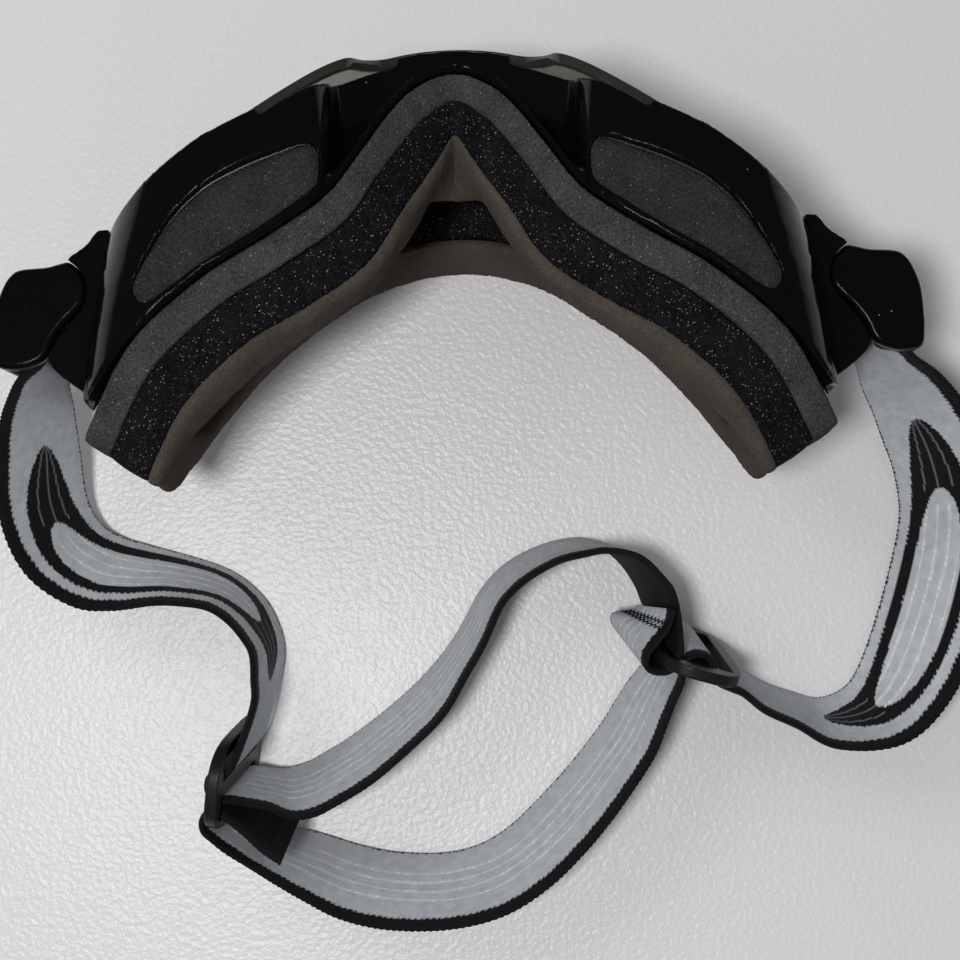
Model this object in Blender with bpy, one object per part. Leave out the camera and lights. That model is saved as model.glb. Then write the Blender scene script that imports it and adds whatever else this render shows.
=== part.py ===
"""Motorcycle riding goggles, lying brow-down with the strap laid out behind them.

World frame: +Y out through the lens, +Z up from the brow to the cheeks, and +X across. The origin
is the middle of the flat brow rest: Z = 0 is the plane the brow rests on and X = 0 the frame's
plane of symmetry. "right" in a name is the +X side and "left" the -X side. All dimensions are
millimetres, laid out from a line a little ahead of the outriggers' pivots; DATUM is the origin's
place in that layout. Meshes are written in metres.
"""

import math

import bmesh
import bpy
import numpy as np
from mathutils import Vector

# ---------------------------------------------------------------- general
MM = 0.001  # metres
DATUM = (0.0, 38.0, 0.0)
SIDES = ((1, "right"), (-1, "left"))
RING_STEPS = 2  # mesh stations between two control stations of a ring
STRIP_STEPS = 2  # the same for a strip of webbing
SHARP_ANGLE = 35  # degrees; steeper edges are shaded sharp
FIT = 0.3  # gap kept between neighbouring pieces

# ---------------------------------------------------------------- lens
LENS_T = 2.0
LENS_RINGS = 5  # mesh rings from the middle to the edge
LENS_MIDDLE = (0.0, 36.0)  # x, z
BEHIND_LENS = -LENS_T - FIT  # y from the lens line to the frame behind the lens

# Plan (x, y) of the lens's outer face; the lens is bent to the upright cylinder on this line.
LENS_LINE = [(0, 47.6), (12, 46.1), (24, 41.2), (34, 35.8), (43, 30.3), (53, 24.2), (63, 16.9),
             (72, 8.4), (80, -1.5)]
# Half ring (x, z) from the brow centre round the +X side to the nose centre.
LENS_EDGE = [(0, 1.5), (15, 1.5), (30, 1.5), (43.6, 2.7), (55.2, 6.3), (63.8, 12.9), (69, 23.6),
             (71, 38), (71.3, 52), (69.6, 63.8), (62.2, 72.2), (50.8, 75.5), (38.8, 76.1),
             (27.5, 76), (21.5, 73.5), (18.8, 66.5), (15.4, 60.8), (11.6, 58.6), (0, 57.3)]

# ---------------------------------------------------------------- frame
WALL = 2.5
LIP_FRONT = 1.1  # front lip stands this far ahead of the lens
LIP_DEPTH = 3.6  # front lip reaches this far in from the outside
LIP_BACK = 0.2  # gap from the lens forward to the back of the lip
GROOVE = 1.2  # groove floor below the outside of the wall
WALL_STATIONS = (1 / 3, 2 / 3)  # shares of the way from the front ring to the rear ring
BULGE = 0.9  # outward swell of the wall at the temples and cheeks
BULGE_ABOVE = 62  # z above which the whole wall swells
BULGE_FACING = 0.5  # lower down, it swells where the wall faces sideways by more than this
BEHIND_GROOVE = 0.15  # least step back from the groove to the inner wall
INNER_STEP = 0.1  # least step back between the inner wall stations
MIN_SLOPE = 0.25  # floor for the slope used when the wall is pulled clear of the foam

# Half rings of the wall's outside, in the same order as LENS_EDGE. Front (x, z), rear (x, y, z).
FRONT = [(0, 0), (15, 0), (30, 0), (44, 1.2), (56, 5), (65, 12), (70.5, 23), (72.5, 38),
         (72.8, 52), (71, 64.5), (63, 73.5), (51, 77), (39, 77.6), (30.5, 76.4), (26.5, 72),
         (23.5, 64.5), (12, 60.2), (0, 58.8)]
REAR = [(0, 30.5, 0), (16, 28.5, 0), (31, 22.5, 0), (46, 12.5, 1.2), (59, 0.5, 5),
        (69.5, -11.5, 12), (76, -21.5, 23), (78.6, -25, 39), (78.6, -25, 54), (76.4, -24.6, 67),
        (67, -14.5, 75.3), (52.5, -2, 77.3), (38.5, 6.2, 77.3), (28.5, 13, 76), (25.5, 16.5, 71.5),
        (23.5, 20.5, 64.8), (13, 36.2, 61.2), (0, 43.6, 60)]

# Window cut ahead of the lens at the nose and its two shoulders
NOSE_LIP, TAB_END = 11.8, 41.0  # half widths of the nose lip and of the two lens shoulders
NOSE_CUT_BACK = -0.5  # y of the cut's rear and front faces from the lens line
WINDOW_FRONT = 7
WINDOW_Z = (52, 95)

# Flange that carries the face foam
FLANGE_T = 1.3
FOAM_GAP = 0.55  # from the flange and the wall to the foam
FLANGE_INSET = 1.2  # flange's inner edge from the foam's inner edge
# Foam station index at the temple: share of the foam's width that the flange backs there
FLANGE_REACH = {6: 0.75, 7: 0.45, 8: 0.45, 9: 0.6}

# ---------------------------------------------------------------- face foam
GREY_T, BLACK_T, FLEECE_T = 7.0, 10.0, 2.5
BOND = 0.3  # gap that stands for each bond line

# Edges of the foam as half rings (x, y, z): outer or inner edge, at the frame or at the face.
OUTER_AT_FRAME = [
    (0, 30, 0.3), (15, 28, 0.3), (30, 22, 0.5), (44, 13, 2.0), (57, 1, 6), (68, -12, 13.5),
    (76, -25, 24), (79, -32.5, 40), (78.5, -32.5, 54), (76.5, -31.5, 65), (66.5, -15, 73.5),
    (52, -2.5, 75.6), (38, 6, 75.6), (26, 14.5, 74), (19, 24.5, 69.5), (12, 35, 63.5),
    (6.5, 40, 60.5), (0, 42.3, 59)]
OUTER_AT_FACE = [
    (0, 8.4, 0.3), (10, 7.4, 0.3), (20.5, 3.8, 0.5), (32, -3.2, 2.0), (43.5, -13, 6),
    (53.5, -25, 13.5), (60.5, -36.5, 24), (62.5, -43, 40), (62.5, -43, 54), (62, -42, 65),
    (54, -29.5, 73.5), (42, -18, 75.2), (28.5, -10, 74.2), (17, -1.5, 72), (9.6, 10.6, 67),
    (5.2, 17.6, 62.5), (2.4, 23, 59), (0, 27.6, 57)]
INNER_AT_FACE = [
    (0, 12.4, 16.5), (10.5, 11.3, 16.5), (21, 7.2, 16), (32, -0.8, 16), (42.5, -11, 18.5),
    (51, -22.5, 24), (56, -30.5, 30), (57.5, -31.5, 41), (57.5, -31.5, 52), (56.5, -32.5, 58),
    (49, -27.5, 61), (39, -18.5, 62.5), (28.2, -10.8, 61), (17.3, -1.8, 57.5), (9.4, 10.2, 50.5),
    (6.2, 17.2, 45), (3, 18, 44.2), (0, 18, 44)]
INNER_AT_FRAME = [
    (0, 31.5, 16), (15.5, 29.5, 16), (29.5, 23.5, 16), (43, 14, 16.5), (55.5, 2.5, 20),
    (65.5, -9, 25), (72.6, -17.5, 31), (74, -20.5, 41), (74, -20.5, 52.5), (72, -19.5, 59.5),
    (63.5, -11, 62), (50.5, 1, 63.5), (38, 9, 62.5), (25, 17, 60), (17.5, 25.5, 55),
    (11.5, 33.5, 50), (6.5, 37, 47.5), (0, 38.5, 46)]

# ---------------------------------------------------------------- vents
# Window outlines in plan (x, y), clockwise seen from +Z, for the +X side
VENT_CHEEK = [(29.7, 24.6), (36, 22.6), (43, 19.9), (50.5, 16), (56.5, 10.6), (61, 4.5),
              (64.6, -2), (65, -5.2), (62.6, -6.9), (57, -3.4), (51.4, 0.6), (41.3, 6.6),
              (33.5, 11.8), (28.6, 15.4), (27.4, 18.4), (27.6, 22.6)]
VENT_BROW = [(15.5, 36.6), (24, 33.6), (33, 28.6), (42, 22.6), (45, 19), (43.6, 17), (36, 22.4),
             (27, 27.4), (17.5, 31.3), (14.6, 33.6)]
# Name, outline, z range of the cut, z range of the foam, gap round the foam
VENTS = [("cheek", VENT_CHEEK, (71, 90), (71.5, 76.2), 0.55),
         ("brow", VENT_BROW, (-10, 5), (1.3, 6.3), 0.5)]

# ---------------------------------------------------------------- outriggers
# Plan coordinates (x, y) for the +X side; the other side is its mirror.
PIVOT = (85.0, -1.5)
OUTRIGGER_Z = (23.0, 57.0)
OUTRIGGER_PLAN = [(84, 4.4), (86.5, 3.8), (91.8, 3.4), (94, 2.1), (95.6, -0.4), (97, -4.5),
                  (97.5, -10), (97.5, -14), (97.1, -16.4), (95.8, -17.5), (92, -17.8),
                  (88.4, -16.8), (86.4, -15.2), (84.5, -11.2), (82.1, -8.1), (80.6, -6.7),
                  (79.1, -5.0)]
REAR_SLOT_PLAN = [(77, -8.6), (94.8, -8.6), (95.7, -12), (95.9, -16.2), (96.0, -24), (77, -24)]
OUTRIGGER_SHELF = 2.4  # thickness left above and below the rear slot
KNUCKLE_R, KNUCKLE_ARC = 6.95, (205, 116, 12)  # arcs: first and last angle (degrees), points
SOCKET_R, SOCKET_ARC = 7.35, (118, 228, 14)
HALF_ROUND = (-90, 90, 13)

# Wing of the frame, with the socket's arc between its two runs of points
WING_Z = (22.0, 58.0)
WING_FRONT = [(73.4, -7), (72.6, 11.4), (75.4, 11), (77.2, 8.6), (79.2, 6.9), (81, 5.9)]
WING_REAR = [(84.0, -11.4), (85.5, -14.9), (85.7, -16.6), (84, -18.8), (80.7, -21.4),
             (78.4, -22.9), (77.2, -22.0), (76.2, -20)]

# Tongue of the frame round the pin, and the outrigger's slot for it
TONGUE_R, TONGUE_Z, TONGUE_ROOT_X = 3.6, (30.0, 50.0), 76.0
TONGUE_GAP = 0.6
TONGUE_SLOT_REACH = 11  # slot's mouth from the pivot, towards the frame
TONGUE_SLOT_HALF = 8.2  # half width of the slot at its mouth

PIN_R, PIN_Z = 1.5, (24.0, 54.4)
PIN_HOLE_R = PIN_R + FIT
PIN_TOP_GAP = 0.4
PIN_CUT_Z = (10, 70)  # reach of the cutters for the pin holes
STRAP_BAR_LOW, STRAP_BAR_HIGH = (90.2, -14.6, 23.8), (91.6, -14.6, 56.2)
STRAP_BAR_R = 1.7
ROD_SIDES = 20

# ---------------------------------------------------------------- strap
STRAP_W, STRAP_T = 27.6, 1.6
SEWN_T = 2.4  # thickness of a sewn tail
STRAP_ORIGIN = (0, -75, 14)
LOOP_SIDES = 24
LOOP_REACH = 5.4  # from a sewn loop's axis to its flat end
LOOP_FLAT = 0.5  # radians either side of the tail that are drawn out to the flat end
ANCHOR_INNER_R, ANCHOR_OUTER_R = 2.1, 3.6
ANCHOR_SPLAY = 0.15  # outward share of the anchor tail's direction

# Stations of each strip's lower edge: x, y, height, lean of the webbing in degrees. Lean is
# positive to the right of travel, seen from +Z.
FRONT_LEFT = [
    (-88.3, -27.5, 15, 26), (-87.9, -34, 11, 31), (-87.3, -42.9, 6.5, 36), (-84.6, -48.6, 3.5, 40),
    (-80.3, -51.6, 1.5, 40), (-74.5, -53.6, 0.4, 35), (-66, -56.2, 0, 26), (-57.7, -59.1, 0, 21),
    (-51.9, -62.5, 0, 18), (-47.1, -67.5, 0, 16), (-44.2, -73.6, 0, 13), (-43.3, -79, 0, 10)]
FRONT_RIGHT = [
    (94.3, -27.5, 13.5, -25), (96.8, -33.3, 8, -34), (99.7, -39.6, 4, -38), (101.4, -47, 1, -42),
    (101.3, -52.8, 0, -44), (99.4, -61, 0, -48), (95.7, -73.3, 0, -48), (91.4, -84.6, 0, -42),
    (87.6, -90.4, 0, -33), (81.3, -93.0, 0, -21), (78.2, -92.6, 0, -17)]
BACK_LEFT = [
    (-40.2, -105.6, 0, 23), (-35.6, -104, 0, 22.5), (-27.6, -99.4, 0, 22.5), (-18.8, -93, 0, 21),
    (-11.7, -86.9, 0, 19.5), (-5.7, -80.5, 0, 15), (-1.4, -74.4, 0, 13.5), (3, -66.7, 0, 12),
    (7.3, -61.7, 0, 12), (12.6, -58.1, 0, 11.5), (19.7, -55.4, 0, 10), (26.9, -54.6, 0, 8.5),
    (32.5, -56.6, 0, 3), (36.6, -60.7, 0, -5), (38.6, -64.6, 0, -8)]
BACK_RIGHT = [
    (37.6, -89.6, 0, -20), (31.5, -96.6, 0, -25.5), (25.7, -104, 0, -27), (20.7, -109.6, 0, -28.5),
    (15.4, -115, 0, -29.5), (8.7, -121, 0, -30), (1.7, -125, 0, -30.5), (-6.7, -126.8, 0, -30.5),
    (-17.4, -126.4, 0, -31), (-26, -124.6, 0, -30), (-35, -121.4, 0, -25)]
STRAP_RUNS = {"front_left": FRONT_LEFT, "front_right": FRONT_RIGHT,
              "back_left": BACK_LEFT, "back_right": BACK_RIGHT}
ANCHOR_TAILS = {
    "left": [(-90.6, -17.2, 26.2, 5), (-90.2, -19.6, 25.6, 7), (-89.6, -22.8, 21.6, 15),
             (-88.8, -26.2, 17, 23)],
    "right": [(90.6, -17.2, 26.2, -5), (91.0, -19.6, 25.6, -7), (91.8, -22.8, 21.4, -13),
              (93.2, -26.2, 16.4, -20)]}

# ---------------------------------------------------------------- sliders
# Centre, direction across the webbing (leaning upright) and outward normal
SLIDERS = {"left": ((-53.0, -105.0, 19.6), (-0.15, -0.20, 0.968), (-0.99, 0.15, 0.0)),
           "right": ((49.5, -80.5, 19.4), (0.10, -0.27, 0.957), (0.28, 0.96, 0.0))}
SLIDER_W, SLIDER_L, SLIDER_T = 39.0, 20.0, 2.6
END_BAR, MID_BAR_HALF = 2.8, 1.6  # end bar width, half width of the middle bar
SLOT_HALF_W = 14.5  # half length of a slot, across the webbing
SLOT_CUT_HALF = 6  # the slot cutters reach this far either side of the plate
OVAL_POINTS = 40
OVAL_POWERS = (0.7, 0.5)  # along and across; below 1 squares the outline off

FOLD_T = 1.2
FOLD_STEPS = 3
# Webbing through both slots and over the middle bar: along the run, out along the normal
FOLD_PATH = [(-12.5, -3.6), (-8.6, -3.0), (-5.2, -2.4), (-3.3, -0.4), (-2.9, 1.3), (-1.6, 2.55),
             (0, 2.75), (1.6, 2.55), (2.9, 1.3), (3.1, -0.8), (2.9, -3.0), (2.7, -6.0)]

END_W = STRAP_W - 1.0  # width of the sewn end on the far end bar
END_INNER_R, END_OUTER_R = 2.25, 3.7
END_TIP = 4.6  # start of the flap, out from the end bar's axis


def end_flap(tag, tip):
    """Strip stations of the flap that leaves a sewn end at tip, its lower corner."""
    x, y, z = tip
    if tag == "left":
        return [(x, y, z, 12), (x + 3.4, y - 2.6, z - 0.4, 17), (x + 8.0, y - 3.4, 0.2, 20),
                (-41.6, -118.4, 0.1, 22)]
    return [(x, y, z, 8), (x - 1.9, y + 2.6, 0.5, 9), (x - 1.6, y + 5.2, 0.3, 11)]


# ---------------------------------------------------------------- curves and vectors
def catmull(points, steps, closed):
    """Catmull-Rom curve through the control points, with steps samples to each span."""
    knots = np.asarray(points, float)
    count = len(knots)
    curve = []
    for i in range(count if closed else count - 1):
        start, end = knots[i], knots[(i + 1) % count]
        before = knots[i - 1] if closed or i else 2 * start - end
        after = knots[(i + 2) % count] if closed or i + 2 < count else 2 * end - start
        for step in range(steps):
            t = step / steps
            curve.append(0.5 * (2 * start + (end - before) * t
                                + (2 * before - 5 * start + 4 * end - after) * t * t
                                + (3 * start - before - 3 * end + after) * t ** 3))
    if not closed:
        curve.append(knots[-1])
    return np.array(curve)


def whole(half):
    """A half ring mirrored in X and sampled as one closed curve."""
    half = np.asarray(half, float)
    other = half[-2:0:-1].copy()
    other[:, 0] *= -1
    return catmull(np.vstack([half, other]), RING_STEPS, closed=True)


def lens_curve():
    """The lens line over its full width."""
    line = np.array(LENS_LINE, float)
    return catmull(np.vstack([line[:0:-1] * [-1, 1], line]), 12, closed=False)


LENS_CURVE = lens_curve()


def lens_y(x):
    return np.interp(x, LENS_CURVE[:, 0], LENS_CURVE[:, 1])


def unit(vectors):
    """Unit vectors; a zero vector stays zero."""
    vectors = np.asarray(vectors, float)
    return vectors / np.maximum(np.linalg.norm(vectors, axis=-1, keepdims=True), 1e-9)


def square_to(vector, axis):
    """The unit direction of vector once its part along the unit axis is taken out."""
    vector = unit(vector)
    return unit(vector - axis * np.dot(vector, axis))


def ring_tangents(ring):
    return np.roll(ring, -1, 0) - np.roll(ring, 1, 0)


def inward(ring):
    """Unit normals in XZ that point into a ring running from the brow round +X to the nose."""
    tangent = ring_tangents(ring)
    return unit(np.column_stack([-tangent[:, 2], np.zeros(len(ring)), tangent[:, 0]]))


def on_side(plan, sign):
    """A +X side plan as it is, or mirrored to the -X side."""
    return plan if sign > 0 else [(-x, y) for x, y in plan][::-1]


def pivot_arc(radius, start, end, count):
    """Plan points about the pivot between two angles in degrees."""
    return [(PIVOT[0] + radius * math.cos(a), PIVOT[1] + radius * math.sin(a))
            for a in np.radians(np.linspace(start, end, count))]


def shrunk(plan, gap):
    """A clockwise plan polygon moved inwards by a gap."""
    points = np.asarray(plan, float)
    moved = []
    for i, point in enumerate(points):
        before = unit(point - points[i - 1])
        after = unit(points[(i + 1) % len(points)] - point)
        normal = np.array([before[1], -before[0]])
        mitre = unit(normal + [after[1], -after[0]])
        moved.append(tuple(point + mitre * gap / max(0.5, float(np.dot(mitre, normal)))))
    return moved


# ---------------------------------------------------------------- solids, as (vertices, faces)
def torus(sections, crossed=()):
    """A closed loop of closed sections; the rows in crossed take the other diagonal."""
    n, k = len(sections), len(sections[0])
    faces = []
    for i in range(n):
        this, following = i * k, ((i + 1) % n) * k
        for j in range(k):
            a, b = this + j, this + (j + 1) % k
            c, d = following + (j + 1) % k, following + j
            faces += [(a, b, d), (b, c, d)] if j in crossed else [(a, b, c), (a, c, d)]
    return [p for section in sections for p in section], faces


def tube(sections):
    """An open run of closed sections, capped at both ends."""
    n, k = len(sections), len(sections[0])
    faces = [(i * k + j, i * k + (j + 1) % k, (i + 1) * k + (j + 1) % k, (i + 1) * k + j)
             for i in range(n - 1) for j in range(k)]
    faces += [tuple(range(k))[::-1], tuple(range((n - 1) * k, n * k))]
    return [p for section in sections for p in section], faces


def prism(plan, low, high):
    return tube([[(x, y, z) for x, y in plan] for z in (low, high)])


def rod(low, high, radius):
    """A round bar between two points, one roughly above the other."""
    low, high = np.array(low, float), np.array(high, float)
    axis = unit(high - low)
    across = unit(np.cross(axis, [0, 1, 0]))
    third = np.cross(axis, across)
    turns = [2 * math.pi * i / ROD_SIDES for i in range(ROD_SIDES)]
    rim = [across * math.cos(a) + third * math.sin(a) for a in turns]
    return tube([[end + radius * r for r in rim] for end in (low, high)])


def pin_rod(sign, low, high, radius):
    x, y = sign * PIVOT[0], PIVOT[1]
    return rod((x, y, low), (x, y, high), radius)


def webbing(stations, width=STRAP_W, thick=STRAP_T):
    """A flat strip through stations of x, y, height of the lower edge and lean."""
    curve = catmull(stations, STRIP_STEPS, closed=False)
    lean = np.radians(curve[:, 3])
    low = curve[:, :3].copy()
    # lifted so that the leaning strip's lower corner stays above the ground
    low[:, 2] = np.maximum(low[:, 2], 0) + 0.5 * thick * np.abs(np.sin(lean))
    travel = unit(np.gradient(low, axis=0))
    side = unit(np.column_stack([travel[:, 1], -travel[:, 0], np.zeros(len(low))]))
    across = side * np.sin(lean)[:, None] + np.array([0, 0, 1.0]) * np.cos(lean)[:, None]
    offset = unit(np.cross(travel, across)) * thick / 2
    high = low + across * width
    return tube(np.stack([low - offset, low + offset, high + offset, high - offset], axis=1))


def sewn_loop(centre, across, tail, inner, outer, height):
    """A collar of webbing about an axis along across, drawn out to a flat end along tail."""
    across = unit(across)
    tail = square_to(tail, across)
    side = np.cross(across, tail)
    half = across * height / 2
    sections = []
    for i in range(LOOP_SIDES):
        angle = 2 * math.pi * i / LOOP_SIDES
        direction = tail * math.cos(angle) + side * math.sin(angle)
        rim_out, rim_in = centre + direction * outer, centre + direction * inner
        if min(angle, 2 * math.pi - angle) < LOOP_FLAT:
            rim_out = centre + tail * LOOP_REACH + side * math.sin(angle) * outer
        sections.append([rim_out - half, rim_out + half, rim_in + half, rim_in - half])
    return torus(sections)


# ---------------------------------------------------------------- scene objects
def material(name, colour, roughness, metallic=0.0, alpha=1.0):
    made = bpy.data.materials.new(name)
    made.use_nodes = True
    inputs = made.node_tree.nodes["Principled BSDF"].inputs
    inputs["Base Color"].default_value = (*colour, 1)
    inputs["Roughness"].default_value = roughness
    inputs["Metallic"].default_value = metallic
    inputs["Alpha"].default_value = alpha
    return made


def to_world(point):
    return (Vector(point) - Vector(DATUM)) * MM


def add(name, solid, mat=None, origin=(0, 0, 0), parent=None):
    """A mesh object from a solid in millimetres; a parent must stand at the object's origin."""
    verts, faces = solid
    mesh = bpy.data.meshes.new(name)
    start = np.asarray(origin, float)
    points = [tuple((np.asarray(v, float) - start) * MM) for v in verts]
    mesh.from_pydata(points, [], [tuple(f) for f in faces])
    bm = bmesh.new()
    bm.from_mesh(mesh)
    bmesh.ops.recalc_face_normals(bm, faces=bm.faces)
    if bm.calc_volume(signed=True) < 0:
        bmesh.ops.reverse_faces(bm, faces=bm.faces)
    bm.to_mesh(mesh)
    bm.free()
    mesh.shade_smooth()
    mesh.set_sharp_from_angle(angle=math.radians(SHARP_ANGLE))
    obj = bpy.data.objects.new(name, mesh)
    bpy.context.scene.collection.objects.link(obj)
    if parent is None:
        obj.location = to_world(start)
    else:
        obj.parent = parent
    if mat is not None:
        mesh.materials.append(mat)
    return obj


def combine(target, operation, name, solid):
    """Join a helper solid to the target, or cut it away, with a boolean modifier."""
    helper = add(name, solid)
    helper.hide_render = True
    helper.display_type = "WIRE"
    modifier = target.modifiers.new(name, "BOOLEAN")
    modifier.object = helper
    modifier.operation = operation
    modifier.solver = "EXACT"


def empty(name, at):
    marker = bpy.data.objects.new(name, None)
    bpy.context.scene.collection.objects.link(marker)
    marker.location = to_world(at)
    marker.empty_display_size = 0.01
    return marker


# ---------------------------------------------------------------- frame
def wall_sections():
    """Sections of the wall, each from the front lip over the outside and back to the groove."""
    front_xz, rear = whole(FRONT), whole(REAR)
    # the curve must not dip below the brow plane between stations
    x, z = front_xz[:, 0], np.maximum(front_xz[:, 1], 0)
    rear[:, 2] = np.maximum(rear[:, 2], 0)
    front = np.column_stack([x, lens_y(x) + LIP_FRONT, z])
    front_inward, rear_inward = inward(front), inward(rear)

    # normals of the foam's frame side, turned to point into the foam
    seat = whole(OUTER_AT_FRAME)
    into_foam = unit(np.cross(ring_tangents(seat), whole(INNER_AT_FRAME) - seat))
    facing = np.sum(into_foam * (whole(OUTER_AT_FACE) - seat), axis=1)
    into_foam *= np.sign(facing)[:, None]

    sections = []
    for i, (fore, aft) in enumerate(zip(front, rear)):
        fore_in, aft_in = front_inward[i], rear_inward[i]

        def by_lens(depth, ahead):
            """A point this deep inside the front ring and this far ahead of the lens line."""
            x = fore[0] + fore_in[0] * depth
            return np.array([x, float(lens_y(x)) + ahead, fore[2] + fore_in[2] * depth])

        swells = fore[2] > BULGE_ABOVE or abs(fore_in[0]) > BULGE_FACING
        outer, inner = [], []
        for t in WALL_STATIONS:
            normal = unit(fore_in * (1 - t) + aft_in * t)
            point = fore + (aft - fore) * t
            if swells:
                point = point - normal * (BULGE * math.sin(math.pi * t))
            outer.append(point)
            inner.append(point + normal * WALL)
        front_inner = by_lens(WALL, BEHIND_LENS)
        rear_inner = aft + aft_in * WALL
        # keep the inner points behind the groove and in order
        inner[0][1] = min(inner[0][1], front_inner[1] - BEHIND_GROOVE)
        inner[1][1] = min(inner[1][1], inner[0][1] - INNER_STEP)
        rear_inner[1] = min(rear_inner[1], inner[1][1] - INNER_STEP)
        # and pull the rear one ahead of the foam
        forward = unit(inner[1] - rear_inner)
        past = float(np.dot(rear_inner - seat[i], into_foam[i])) + FOAM_GAP
        if past > 0:
            slope = -float(np.dot(forward, into_foam[i]))
            rear_inner = rear_inner + forward * past / max(MIN_SLOPE, slope)
        sections.append([
            by_lens(LIP_DEPTH, LIP_FRONT), by_lens(0, LIP_FRONT), *outer, aft,
            rear_inner, inner[1], inner[0], front_inner,
            by_lens(GROOVE, BEHIND_LENS), by_lens(GROOVE, LIP_BACK), by_lens(LIP_DEPTH, LIP_BACK),
        ])
    return sections


def flange_sections():
    inner_half = np.asarray(INNER_AT_FRAME, float)
    edge_half = np.asarray(OUTER_AT_FRAME, float)
    for i, share in FLANGE_REACH.items():
        edge_half[i] = inner_half[i] + (edge_half[i] - inner_half[i]) * share
    edge, foam_inner = whole(edge_half), whole(inner_half)
    off_foam = -unit((whole(OUTER_AT_FACE) - whole(OUTER_AT_FRAME))
                     + (whole(INNER_AT_FACE) - foam_inner))
    inner = foam_inner + unit(edge - foam_inner) * FLANGE_INSET
    near, far = off_foam * FOAM_GAP, off_foam * (FOAM_GAP + FLANGE_T)
    return np.stack([edge + near, edge + far, inner + far, inner + near], axis=1)


def lens_window():
    """A block ahead of the lens at the nose, stepping back behind the lens at the shoulders."""
    half = []
    for start, end, count, ahead in ((0, NOSE_LIP, 5, NOSE_CUT_BACK),
                                     (NOSE_LIP, TAB_END, 9, BEHIND_LENS),
                                     (TAB_END, 0, 9, WINDOW_FRONT)):
        half += [(x, float(lens_y(x)) + ahead) for x in np.linspace(start, end, count)]
    return prism(half + [(-x, y) for x, y in half[-2:0:-1]], *WINDOW_Z)


def build_frame(gloss):
    frame = add("frame_shell", torus(wall_sections()), gloss)
    combine(frame, "DIFFERENCE", "cut_window", lens_window())
    combine(frame, "UNION", "add_flange", torus(flange_sections()))
    wing = (WING_FRONT + pivot_arc(SOCKET_R, *SOCKET_ARC) + WING_REAR)[::-1]
    tongue = [(TONGUE_ROOT_X, PIVOT[1] - TONGUE_R), *pivot_arc(TONGUE_R, *HALF_ROUND),
              (TONGUE_ROOT_X, PIVOT[1] + TONGUE_R)]
    for sign, tag in SIDES:
        combine(frame, "UNION", "add_wing_" + tag, prism(on_side(wing, sign), *WING_Z))
        combine(frame, "UNION", "add_tongue_" + tag, prism(on_side(tongue, sign), *TONGUE_Z))
        combine(frame, "DIFFERENCE", "cut_pin_" + tag, pin_rod(sign, *PIN_CUT_Z, PIN_HOLE_R))
        for vent, plan, cut_z, _, _ in VENTS:
            cutter = prism(on_side(plan, sign), *cut_z)
            combine(frame, "DIFFERENCE", f"cut_vent_{vent}_{tag}", cutter)


# ---------------------------------------------------------------- lens
def lens_body():
    """Two faces of concentric rings, front then back, joined round the edge."""
    edge = whole(LENS_EDGE)
    middle = np.array(LENS_MIDDLE)
    count = len(edge)
    verts, faces = [], []

    def join(a, b):
        """Quads between two rings that start at vertices a and b."""
        return [(a + j, a + (j + 1) % count, b + (j + 1) % count, b + j) for j in range(count)]

    for dy in (0, -LENS_T):
        hub = len(verts)
        verts.append((middle[0], float(lens_y(middle[0])) + dy, middle[1]))
        for ring in range(1, LENS_RINGS + 1):
            points = middle + (edge - middle) * (ring / LENS_RINGS)
            verts += [(x, float(lens_y(x)) + dy, z) for x, z in points]
        faces += [(hub, hub + 1 + j, hub + 1 + (j + 1) % count) for j in range(count)]
        for ring in range(LENS_RINGS - 1):
            first = hub + 1 + ring * count
            faces += join(first, first + count)
    rim = 1 + (LENS_RINGS - 1) * count
    faces += join(rim, rim + 1 + LENS_RINGS * count)
    return verts, faces


# ---------------------------------------------------------------- foam
def foam_layer(start, end):
    """The ring between two depths, measured in millimetres from the frame side of the foam."""
    total = GREY_T + BLACK_T + FLEECE_T

    def edge_at(at_frame, at_face, depth):
        at_frame, at_face = whole(at_frame), whole(at_face)
        return at_frame + (at_face - at_frame) * (depth / total)

    outer_start, outer_end = (edge_at(OUTER_AT_FRAME, OUTER_AT_FACE, d) for d in (start, end))
    inner_start, inner_end = (edge_at(INNER_AT_FRAME, INNER_AT_FACE, d) for d in (start, end))
    sections = np.stack([outer_start, outer_end, (outer_end + inner_end) / 2,
                         inner_end, inner_start, (outer_start + inner_start) / 2], axis=1)
    # matching diagonals keep the facing surfaces of two bonded layers parallel
    return torus(sections, crossed=(3, 4, 5))


def build_face_foam(grey, black, fleece):
    core_end = GREY_T + BLACK_T
    add("face_foam_base", foam_layer(0, GREY_T - BOND), grey)
    add("face_foam_core", foam_layer(GREY_T, core_end - BOND), black)
    add("face_fleece", foam_layer(core_end, core_end + FLEECE_T), fleece)


def build_vent_foam(foam):
    for sign, tag in SIDES:
        for vent, plan, _, foam_z, gap in VENTS:
            pad = prism(on_side(shrunk(plan, gap), sign), *foam_z)
            add(f"vent_foam_{vent}_{tag}", pad, foam)


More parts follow.
